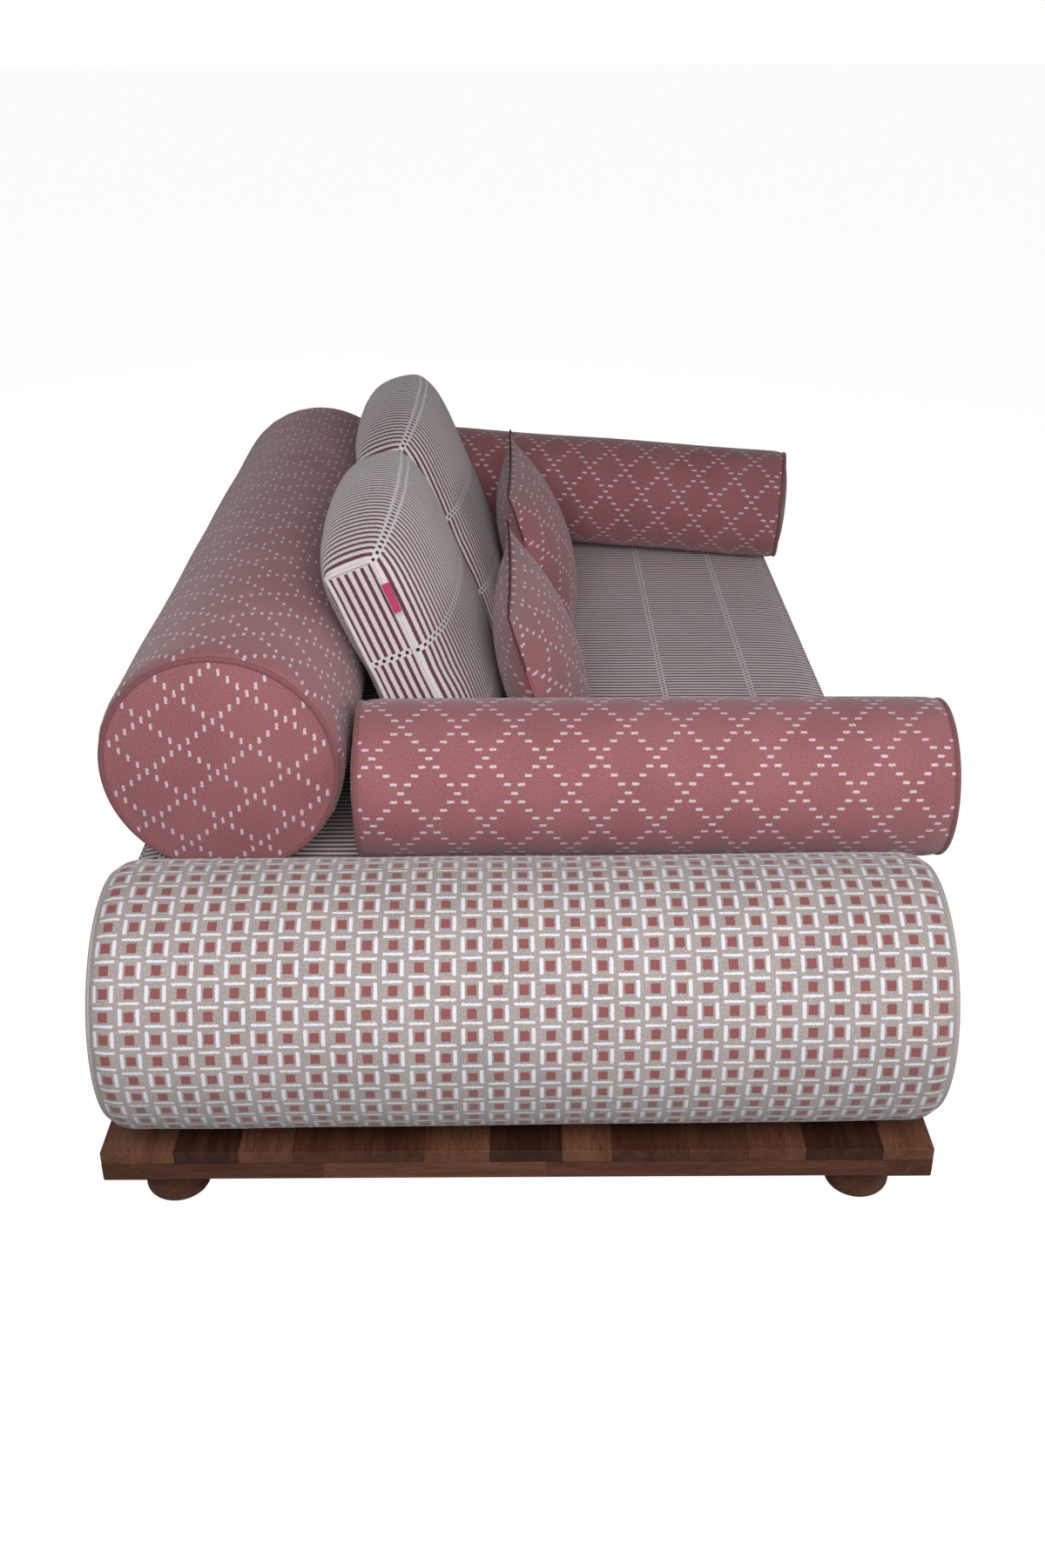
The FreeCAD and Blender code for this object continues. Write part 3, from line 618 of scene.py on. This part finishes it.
cream_bolster("end_bolster_near", 1.0)
cream_bolster("end_bolster_far", 2.0)
rose_bolster("back_bolster", BACK_RADIUS, BACK_LENGTH, BACK_DROP,
             laid("back_bolster_sleeve", math.pi / 2), 3.0)
rose_bolster("arm_bolster_near", ARM_RADIUS, ARM_LENGTH, ARM_DROP,
             laid("arm_bolster_near_sleeve", 0.0, shift=ARM_SHIFT), 4.0)
rose_bolster("arm_bolster_far", ARM_RADIUS, ARM_LENGTH, ARM_DROP,
             laid("arm_bolster_far_sleeve", FAR_ARM_YAW, FAR_ARM_TILT, shift=ARM_SHIFT), 5.0)


# The striped cloth of the mattress and back cushions: maroon stripes on off-white. Across them run narrow
# light bands with a near-black dot between one stripe and the next.
STRIPE_PITCH = 0.0117
STRIPE_HALF = 0.0027
LADDER_PITCH = 0.149
LADDER_HALF = 0.0046
DOT_RADIUS = 0.0027
stripe_group, stripe_in, stripe_out = new_group("stripes", {}, ["Stripes", "Dots"])
parts = axes(stripe_group, stripe_in["Vector"])
_, stripe_off = nearest(stripe_group, parts[0], STRIPE_PITCH)
_, ladder_off = nearest(stripe_group, parts[1], LADDER_PITCH)
in_band = within(stripe_group, ladder_off, LADDER_HALF)
off_band = calc(stripe_group, "SUBTRACT", 1.0, in_band)
stripe = calc(stripe_group, "MULTIPLY", within(stripe_group, stripe_off, STRIPE_HALF), off_band)
from_gap = calc(stripe_group, "SUBTRACT", STRIPE_PITCH / 2, stripe_off)
squares = [calc(stripe_group, "POWER", part, 2.0) for part in (from_gap, ladder_off)]
dot_off = calc(stripe_group, "SQRT", calc(stripe_group, "ADD", *squares))
stripe_group.links.new(stripe, stripe_out["Stripes"])
stripe_group.links.new(within(stripe_group, dot_off, DOT_RADIUS), stripe_out["Dots"])

striped_material, tree, shader, shaken_uv, weave = cloth("striped_cotton")
stripes = placed_group(tree, stripe_group, shaken_uv)
ground = heathered(tree, weave, (0.55, 0.49, 0.50, 1), (0.76, 0.70, 0.71, 1))
banded = blended(tree, stripes["Stripes"], ground, (0.125, 0.042, 0.046, 1))
tree.links.new(blended(tree, stripes["Dots"], banded, (0.018, 0.013, 0.016, 1)), shader.inputs["Base Color"])
bumped(tree, shader, calc(tree, "MULTIPLY_ADD", stripes["Stripes"], -0.5, weave["Relief"]), 0.5, 0.0005)


# The mattress: a foam core in a boxed cover with striped piping round both seams and a zip at the back. It
# lies loose on the panel. Its stripes run from side to side, and the ladders along it.
def boxed(bm, length, width, thickness, step, corner):
    """A closed box form about the origin: a face and half its boxing, mirrored."""
    columns = max(4, round(length / step))
    rows = max(4, round(width / step))
    scale = Matrix.Diagonal((length, width, 1, 1))
    place = Matrix.Translation((0, 0, thickness / 2)) @ scale
    bmesh.ops.create_grid(bm, x_segments=columns, y_segments=rows, size=0.5, matrix=place)
    border = [edge for edge in bm.edges if edge.is_boundary]
    levels = max(2, round(thickness / 2 / step))
    for _ in range(levels):
        made = bmesh.ops.extrude_edge_only(bm, edges=border)["geom"]
        border = [part for part in made if isinstance(part, bmesh.types.BMEdge) and part.is_boundary]
        down = [part for part in made if isinstance(part, bmesh.types.BMVert)]
        bmesh.ops.translate(bm, vec=(0, 0, -thickness / 2 / levels), verts=down)
    whole = list(bm.verts) + list(bm.edges) + list(bm.faces)
    bmesh.ops.mirror(bm, geom=whole, axis="Z", merge_dist=1e-5)
    bmesh.ops.recalc_face_normals(bm, faces=bm.faces)
    if corner:
        for vert in bm.verts:
            a = abs(vert.co.x) - (length / 2 - corner)
            b = abs(vert.co.y) - (width / 2 - corner)
            if a > 0 and b > 0:
                pull = max(a, b) / math.hypot(a, b)
                vert.co.x = math.copysign(length / 2 - corner + a * pull, vert.co.x)
                vert.co.y = math.copysign(width / 2 - corner + b * pull, vert.co.y)
    in_order(bm)


def stuffed(piece, pressure, cap):
    """Blows the cover out by a short cloth simulation, moving no point further than cap."""
    cloth_modifier = piece.modifiers.new("cloth", "CLOTH")
    settings = cloth_modifier.settings
    settings.use_pressure = True
    settings.uniform_pressure_force = pressure
    settings.shrink_min = -0.012
    settings.quality = 6
    settings.effector_weights.gravity = 0
    scene = bpy.context.scene
    for frame_number in range(1, 21):
        scene.frame_set(frame_number)
    depsgraph = bpy.context.evaluated_depsgraph_get()
    swollen = piece.evaluated_get(depsgraph).data
    moves = [swollen.vertices[i].co - piece.data.vertices[i].co for i in range(len(piece.data.vertices))]
    drift = sum(moves, Vector()) / len(moves)
    ends = []
    for vert, move in zip(piece.data.vertices, moves):
        move = move - drift
        if move.length > cap:
            move = move * (cap / move.length)
        ends.append(vert.co + move)
    piece.modifiers.remove(cloth_modifier)
    scene.frame_set(1)
    for vert, end in zip(piece.data.vertices, ends):
        vert.co = end


MATTRESS_LOW, MATTRESS_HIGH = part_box("mattress_cover")
MATTRESS_CROWN = 0.010
MATTRESS_CORNER = 0.038
MATTRESS_STEP = 0.020
FIRST_LADDER_X = 0.253 - 0.028
mattress_size = Vector(MATTRESS_HIGH) - Vector(MATTRESS_LOW)
boxing = mattress_size.z - MATTRESS_CROWN
bm = bmesh.new()
boxed(bm, mattress_size.x, mattress_size.y, boxing, MATTRESS_STEP, MATTRESS_CORNER)
uv_layer = bm.loops.layers.uv.new("cloth")
middle = (Vector(MATTRESS_LOW) + Vector(MATTRESS_HIGH)) / 2
middle.z = MATTRESS_LOW[2] + boxing / 2
for face in bm.faces:
    for loop in face.loops:
        co = loop.vert.co
        if abs(face.normal.z) > 0.7:
            loop[uv_layer].uv = (co.y, co.x + middle.x - FIRST_LADDER_X)
        elif abs(face.normal.x) > abs(face.normal.y):
            loop[uv_layer].uv = (co.y, co.z + 0.045)
        else:
            loop[uv_layer].uv = (co.x, co.z + 0.045)
for vert in bm.verts:
    co = vert.co
    edge = min(mattress_size.x / 2 - abs(co.x), mattress_size.y / 2 - abs(co.y))
    rise = 1 - math.exp(-max(edge, 0) / 0.03)
    if co.z > boxing / 2 - 1e-4:
        hollow = 0.0012 * soft_noise(co, 0.12)
        co.z += (MATTRESS_CROWN - 0.0018) * rise + hollow * rise
    elif abs(co.z) < boxing / 2 - 1e-4:
        draw = 0.004 * (1 - (2 * co.z / boxing) ** 2) - 0.0012 * soft_noise(co, 0.10)
        at_sides = mattress_size.x / 2 - abs(co.x) < 0.001
        at_ends = mattress_size.y / 2 - abs(co.y) < 0.001
        out = Vector((co.x if at_sides else 0, co.y if at_ends else 0, 0))
        if out.length:
            vert.co = co - out.normalized() * draw
bmesh.ops.translate(bm, vec=middle, verts=bm.verts)
mattress = new_piece("mattress_boxed_cover", bm, striped_material)
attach(mattress, "mattress")
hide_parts("mattress_cover", "mattress_core")

piping_material, tree, shader = new_material("striped_piping", 0.88, Sheen_Weight=0.2)
coords = axes(tree, object_coords(tree))
run = calc(tree, "MULTIPLY_ADD", coords["Z"], 0.7, calc(tree, "ADD", coords["X"], coords["Y"]))
_, off = nearest(tree, run, STRIPE_PITCH)
striped = blended(tree, within(tree, off, STRIPE_HALF), (0.62, 0.56, 0.57, 1), (0.11, 0.038, 0.042, 1))
tree.links.new(striped, shader.inputs["Base Color"])


def ring_of(x_half, y_half, corner, centre, count=12):
    """Points round a rectangle with rounded corners."""
    points = []
    for quarter, (sx, sy) in enumerate(((1, 1), (-1, 1), (-1, -1), (1, -1))):
        for step in range(count + 1):
            angle = math.pi / 2 * (quarter + step / count)
            x = sx * (x_half - corner) + corner * math.cos(angle)
            y = sy * (y_half - corner) + corner * math.sin(angle)
            points.append(centre + Vector((x, y, 0)))
    return points


for name, z in (("upper", MATTRESS_LOW[2] + boxing - 0.0045), ("lower", MATTRESS_LOW[2] + 0.0045)):
    centre = Vector((middle.x, middle.y, z))
    points = ring_of(mattress_size.x / 2 + 0.001, mattress_size.y / 2 + 0.001, MATTRESS_CORNER, centre)
    cord = tube(f"mattress_piping_{name}", points, CORD_RADIUS, piping_material, closed=True)
    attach(cord, "mattress")
    if name == "upper":
        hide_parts("mattress_piping")

zip_material, tree, shader = new_material("zip_tape", 0.8)
coords = axes(tree, object_coords(tree))
_, teeth = nearest(tree, coords["Y"], 0.0025)
from_middle = calc(tree, "ABSOLUTE", calc(tree, "SUBTRACT", coords["Z"], middle_of("mattress_zip").z))
toothed = calc(tree, "MULTIPLY", within(tree, from_middle, 0.003), within(tree, teeth, 0.0008))
tape_colour = blended(tree, toothed, (0.11, 0.07, 0.075, 1), (0.35, 0.33, 0.32, 1))
tree.links.new(tape_colour, shader.inputs["Base Color"])
finished("mattress_zip", zip_material)


# The two back cushions: loose fibre in a cover whose striped main panel wraps over the top, with a striped
# panel at each end, piped at its seam. They stand loose on the mattress and lean on the back bolster.
CUSHION_LENGTH = 0.536
CUSHION_HEIGHT = 0.402
CUSHION_THICKNESS = 0.066
CUSHION_LEAN = math.radians(22)
CUSHION_BELOW = 0.030
CUSHION_STEP = 0.0105
CUSHION_PIPING = 0.0031
BACK_STAND_OFF = 0.0006
REAR_CREST = 0.026
NEAR = 1e-5
FRONT_CROWN = 0.054
REAR_CROWN = 0.023
TOP_CROWN = 0.022
TOP_BOW = 0.026
TOP_TAPER = 0.35
SEAT_TOP = MATTRESS_HIGH[2]


AT_EDGE = 0.9999


def fullness(share, power):
    """0 at a cushion's edges, where share is -1 or 1, and 1 in its middle."""
    return 0.0 if abs(share) > AT_EDGE else (1 - share ** 2) ** power


def standing(foot, lean):
    """Local X along the divan, local Y up the lean, local Z to the front."""
    upward = Vector((-math.sin(lean), 0, math.cos(lean)))
    forward = Vector((math.cos(lean), 0, math.sin(lean)))
    turn = Matrix((Vector((0, 1, 0)), upward, forward)).transposed().to_4x4()
    return Matrix.Translation(foot) @ turn


def cut_at_seat(piece):
    """Cuts a cushion flat where it rests on the mattress."""
    bm = bmesh.new()
    bm.from_mesh(piece.data)
    level = (0, 0, SEAT_TOP + 0.0006)
    geom = list(bm.verts) + list(bm.edges) + list(bm.faces)
    bmesh.ops.bisect_plane(bm, geom=geom, plane_co=level, plane_no=(0, 0, 1), clear_inner=True)
    bmesh.ops.holes_fill(bm, edges=[edge for edge in bm.edges if edge.is_boundary])
    bm.to_mesh(piece.data)
    bm.free()


def rising(points):
    """The part of a seam's line that is above the seat."""
    return [point for point in points if point.z > SEAT_TOP + 0.003]


def back_cushion(name):
    """Builds one back cushion with its end piping."""
    low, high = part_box(f"{name}_cover")
    y_middle = (low[1] + high[1]) / 2
    half_length = CUSHION_LENGTH / 2
    height = CUSHION_HEIGHT + CUSHION_BELOW
    half = CUSHION_THICKNESS / 2
    bm = bmesh.new()
    boxed(bm, CUSHION_LENGTH, height, CUSHION_THICKNESS, CUSHION_STEP, 0.0)
    uv_layer = bm.loops.layers.uv.new("cloth")
    top = height / 2
    for face in bm.faces:
        for loop in face.loops:
            co = loop.vert.co
            drop = top - co.y
            if abs(face.normal.x) > 0.7:
                loop[uv_layer].uv = (co.z + STRIPE_PITCH / 2, drop - 0.001)
            elif face.normal.z > 0.7:
                loop[uv_layer].uv = (co.x, drop - 0.004)
            elif face.normal.z < -0.7:
                loop[uv_layer].uv = (co.x, -drop - CUSHION_THICKNESS - 0.004)
            else:
                loop[uv_layer].uv = (co.x, co.z - half - 0.004)
    seams = []
    for side in (-1, 1):
        at_end = [v for v in bm.verts if abs(v.co.x - side * half_length) < NEAR]
        below = [v for v in at_end if v.co.y < top - NEAR]
        front = sorted((v for v in below if v.co.z > half - NEAR), key=lambda v: v.co.y)
        rear = sorted((v for v in below if v.co.z < NEAR - half), key=lambda v: -v.co.y)
        over = sorted((v for v in at_end if v.co.y > top - NEAR), key=lambda v: -v.co.z)
        seams.append([v.index for v in front + over + rear])
    bm.verts.index_update()
    bm.verts.ensure_lookup_table()
    for vert in bm.verts:
        co = vert.co
        along = co.x / half_length
        up = (co.y) / (height / 2)
        full = fullness(along, 0.62)
        deep = 1 - (abs(co.z) / half) ** 2.5
        crown = FRONT_CROWN if co.z > 0 else REAR_CROWN
        taper = 1 - TOP_TAPER * up ** 8 if up > 0 else fullness(up, 0.55)
        co.z *= 1 + crown * full * taper / half
        if up > 0:
            co.y += up ** 6 * full * (TOP_BOW + TOP_CROWN * deep)
        # the ends are drawn in a little between their corners
        co.x -= math.copysign(0.006 * abs(along) ** 8 * fullness(up, 0.8), co.x)
    foot = Vector((back_foot, y_middle, SEAT_TOP))
    pose = standing(foot, CUSHION_LEAN) @ Matrix.Translation((0, height / 2 - CUSHION_BELOW, 0))
    bmesh.ops.transform(bm, matrix=pose, verts=bm.verts)
    piece = new_piece(f"{name}_wrap_cover", bm, striped_material)
    stuffed(piece, 3.0, 0.010)
    lines = [[piece.data.vertices[i].co.copy() for i in seam] for seam in seams]
    cut_at_seat(piece)
    piece.modifiers.new("smooth", "SUBSURF").levels = 1
    piece.modifiers["smooth"].render_levels = 1
    for end, line in zip(("near", "far"), lines):
        cord = tube(f"{name}_piping_{end}", rising(line), CUSHION_PIPING, piping_light_material)
        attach(cord, name)
    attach(piece, name)
    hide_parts(f"{name}_cover", f"{name}_insert")
    return piece


piping_light_material = flecked("off_white_piping", 0.88, 500.0, (0.5, 0.45, 0.46), (0.74, 0.69, 0.70),
                                Sheen_Weight=0.2)
# a cushion's foot is where its middle plane meets the seat, worked out as the source does
bolster_middle = middle_of("back_bolster_sleeve")
stand_off = BACK_RADIUS + BACK_STAND_OFF + REAR_CREST + CUSHION_THICKNESS / 2
rise = bolster_middle.z - SEAT_TOP
back_foot = bolster_middle.x + (stand_off + rise * math.sin(CUSHION_LEAN)) / math.cos(CUSHION_LEAN)
for name in ("back_cushion_near", "back_cushion_far"):
    back_cushion(name)


# The two scatter cushions: plump knife-edge cushions of the rose cloth, sewn with a sunk seam all round. They
# lean on the back cushions, with their stitched-in woven tabs at the near end.
SCATTER_LENGTH = 0.424
SCATTER_HEIGHT = 0.304
SCATTER_CROWN = 0.069
SCATTER_LEAN = math.radians(18)
SCATTER_BELOW = 0.030
SCATTER_DRAW = 0.013
SCATTER_END_DRAW = 0.007
SCATTER_STEP = 0.0095
SCATTER_SEAM = 0.0016
SCATTER_STAND_OFF = 0.0014
SCATTER_CREST = 0.072
FRONT_CREST = 0.058


def scatter_cushion(name):
    """Builds one knife-edge cushion with a dark cord along its seam that paints the sunk seam's shade."""
    low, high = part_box(f"{name}_cover")
    y_middle = (low[1] + high[1]) / 2
    height = SCATTER_HEIGHT + SCATTER_BELOW
    columns = round(SCATTER_LENGTH / SCATTER_STEP)
    rows = round(height / SCATTER_STEP)
    bm = bmesh.new()
    scale = Matrix.Diagonal((SCATTER_LENGTH, height, 1, 1))
    bmesh.ops.create_grid(bm, x_segments=columns, y_segments=rows, size=0.5, matrix=scale)
    whole = list(bm.verts) + list(bm.edges) + list(bm.faces)
    bmesh.ops.mirror(bm, geom=whole, axis="Z", merge_dist=-1)
    half_faces = len(bm.faces) // 2
    bm.faces.ensure_lookup_table()
    front_faces = set(range(half_faces))
    uv_layer = bm.loops.layers.uv.new("cloth")
    front_verts = {vert for face in bm.faces[:half_faces] for vert in face.verts}
    for face in bm.faces:
        for loop in face.loops:
            co = loop.vert.co
            shift = 0.0 if face.index in front_faces else 0.021
            loop[uv_layer].uv = (co.x + shift, co.y)
    for vert in bm.verts:
        along = vert.co.x / (SCATTER_LENGTH / 2)
        up = vert.co.y / (height / 2)
        rise = fullness(along, 0.56) * fullness(up, 0.56) * SCATTER_CROWN
        vert.co.z = rise if vert in front_verts else -rise
        if up > 0:
            vert.co.y -= SCATTER_DRAW * up ** 5 * fullness(along, 0.8)
        vert.co.x -= math.copysign(SCATTER_END_DRAW * abs(along) ** 5 * fullness(up, 0.8), along)
    bmesh.ops.remove_doubles(bm, verts=[v for v in bm.verts if v.is_boundary], dist=1e-5)
    bmesh.ops.recalc_face_normals(bm, faces=bm.faces)
    bm.verts.index_update()
    rim = [v for v in bm.verts if abs(v.co.z) < 1e-6]
    rim.sort(key=lambda v: math.atan2(v.co.x / SCATTER_LENGTH, -v.co.y / height))
    seam = [v.index for v in rim]
    foot = Vector((scatter_foot_x, y_middle, SEAT_TOP))
    pose = standing(foot, SCATTER_LEAN) @ Matrix.Translation((0, height / 2 - SCATTER_BELOW, 0))
    bmesh.ops.transform(bm, matrix=pose, verts=bm.verts)
    piece = new_piece(f"{name}_knife_cover", bm, rose_material)
    stuffed(piece, 3.0, 0.006)
    line = [piece.data.vertices[i].co.copy() for i in seam]
    cut_at_seat(piece)
    piece.modifiers.new("smooth", "SUBSURF").levels = 1
    piece.modifiers["smooth"].render_levels = 1
    # a dark cord along the rim paints the shade in the sunk seam
    cord = tube(f"{name}_seam", rising(line), SCATTER_SEAM, seam_shade_material)
    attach(cord, name)
    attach(piece, name)
    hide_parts(f"{name}_cover", f"{name}_insert")
    return piece


half_height = SCATTER_HEIGHT / 2
half_depth = CUSHION_THICKNESS / 2 + FRONT_CREST
crown_x = back_foot - half_height * math.tan(CUSHION_LEAN) + half_depth / math.cos(CUSHION_LEAN)
reach = SCATTER_CREST + SCATTER_STAND_OFF
scatter_foot_x = crown_x + reach / math.cos(SCATTER_LEAN) + half_height * math.tan(SCATTER_LEAN)
for name in ("scatter_cushion_near", "scatter_cushion_far"):
    scatter_cushion(name)


# The woven tabs: a short magenta ribbon folded double and caught in a seam. Each is left plain.
tab_material, tree, shader = new_material("woven_tab", 0.55, Sheen_Weight=0.3)
coords = axes(tree, object_coords(tree))
ribs = calc(tree, "SINE", calc(tree, "MULTIPLY", coords["Z"], 4500.0))
# the colour follows the rib relief, darker in the hollows and paler on the crests: painted shade and light of
# the ribs over the magenta
rib_shade_share = calc(tree, "MULTIPLY_ADD", ribs, 0.4, 0.5)
rib_painted_shade_colour = blended(tree, rib_shade_share, (0.32, 0.008, 0.06, 1), (0.62, 0.035, 0.16, 1))
tree.links.new(rib_painted_shade_colour, shader.inputs["Base Color"])
bumped(tree, shader, ribs, 0.4, 0.0003)
for body in ("back_cushion_near", "scatter_cushion_near", "scatter_cushion_far"):
    finished(f"{body}_tab", tab_material)


# The studio: a pale floor that shows white to the camera, a soft light above the near end, weaker ones
# before the seat and behind, and a faint fill all round. Nothing here belongs to the divan.
bm = bmesh.new()
bmesh.ops.create_grid(bm, x_segments=1, y_segments=1, size=30.0)
floor_material = bpy.data.materials.new("studio_floor")
floor_material.use_nodes = True
tree = floor_material.node_tree
tree.nodes.clear()
camera_ray = tree.nodes.new("ShaderNodeLightPath").outputs["Is Camera Ray"]
matt = tuned(tree, "ShaderNodeBsdfDiffuse", {"Color": (0.34, 0.34, 0.34, 1)})
glow_strength = calc(tree, "MULTIPLY", camera_ray, 0.93)
glow = tuned(tree, "ShaderNodeEmission", {"Color": (1, 1, 1, 1), "Strength": glow_strength})
both = tuned(tree, "ShaderNodeAddShader", {0: matt.outputs[0], 1: glow.outputs[0]})
output = tree.nodes.new("ShaderNodeOutputMaterial")
tree.links.new(both.outputs[0], output.inputs["Surface"])
new_piece("studio_floor", bm, floor_material, smooth=False)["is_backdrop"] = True

world = bpy.data.worlds.new("studio")
bpy.context.scene.world = world
world.use_nodes = True
tree = world.node_tree
background = tree.nodes["Background"]
background.inputs["Color"].default_value = (1, 1, 1, 1)
path = tree.nodes.new("ShaderNodeLightPath").outputs
tree.links.new(calc(tree, "MULTIPLY_ADD", path["Is Camera Ray"], 0.87, 0.13), background.inputs["Strength"])


def soft_lamp(name, place, target, size, power):
    lamp = bpy.data.lights.new(name, "AREA")
    lamp.shape = "RECTANGLE"
    lamp.size, lamp.size_y = size
    lamp.energy = power
    holder = bpy.data.objects.new(name, lamp)
    bpy.context.scene.collection.objects.link(holder)
    holder.location = place
    holder.rotation_euler = (Vector(target) - Vector(place)).to_track_quat("-Z", "Y").to_euler()


soft_lamp("near_end", (0.0, -2.4, 1.75), (0, -0.75, 0.35), (1.8, 0.9), 52)
soft_lamp("front_side", (2.6, -1.3, 0.95), (0, -0.2, 0.5), (1.6, 1.2), 20)
soft_lamp("rear_fill", (-2.8, 2.6, 0.9), (0, 0, 0.3), (2.0, 1.4), 24)


# The camera, as fitted to the photograph: it stands beyond the near end and looks down along the divan.
CAMERA_PLACE = Vector((-0.0263, -2.486, 1.421))
PITCH = math.radians(27.70)
YAW = math.radians(0.225)
ROLL = math.radians(0.154)
forward = Vector((math.sin(YAW) * math.cos(PITCH), math.cos(YAW) * math.cos(PITCH), -math.sin(PITCH)))
level_right = forward.cross(Vector((0, 0, 1))).normalized()
level_down = forward.cross(level_right)
right = level_right * math.cos(ROLL) + level_down * math.sin(ROLL)
up = right.cross(forward)
lens = bpy.data.cameras.new("view")
lens.sensor_width = 36.0
lens.lens = 35.10
lens.clip_end = 200
camera = bpy.data.objects.new("view", lens)
bpy.context.scene.collection.objects.link(camera)
camera.matrix_world = Matrix.Translation(CAMERA_PLACE) @ Matrix((right, up, -forward)).transposed().to_4x4()
bpy.context.scene.camera = camera
bpy.context.scene.view_settings.view_transform = "Standard"

boxes = {"cad": cad_box, "visual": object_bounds()}
boxes = {key: [list(map(float, corner)) for corner in box] for key, box in boxes.items()}
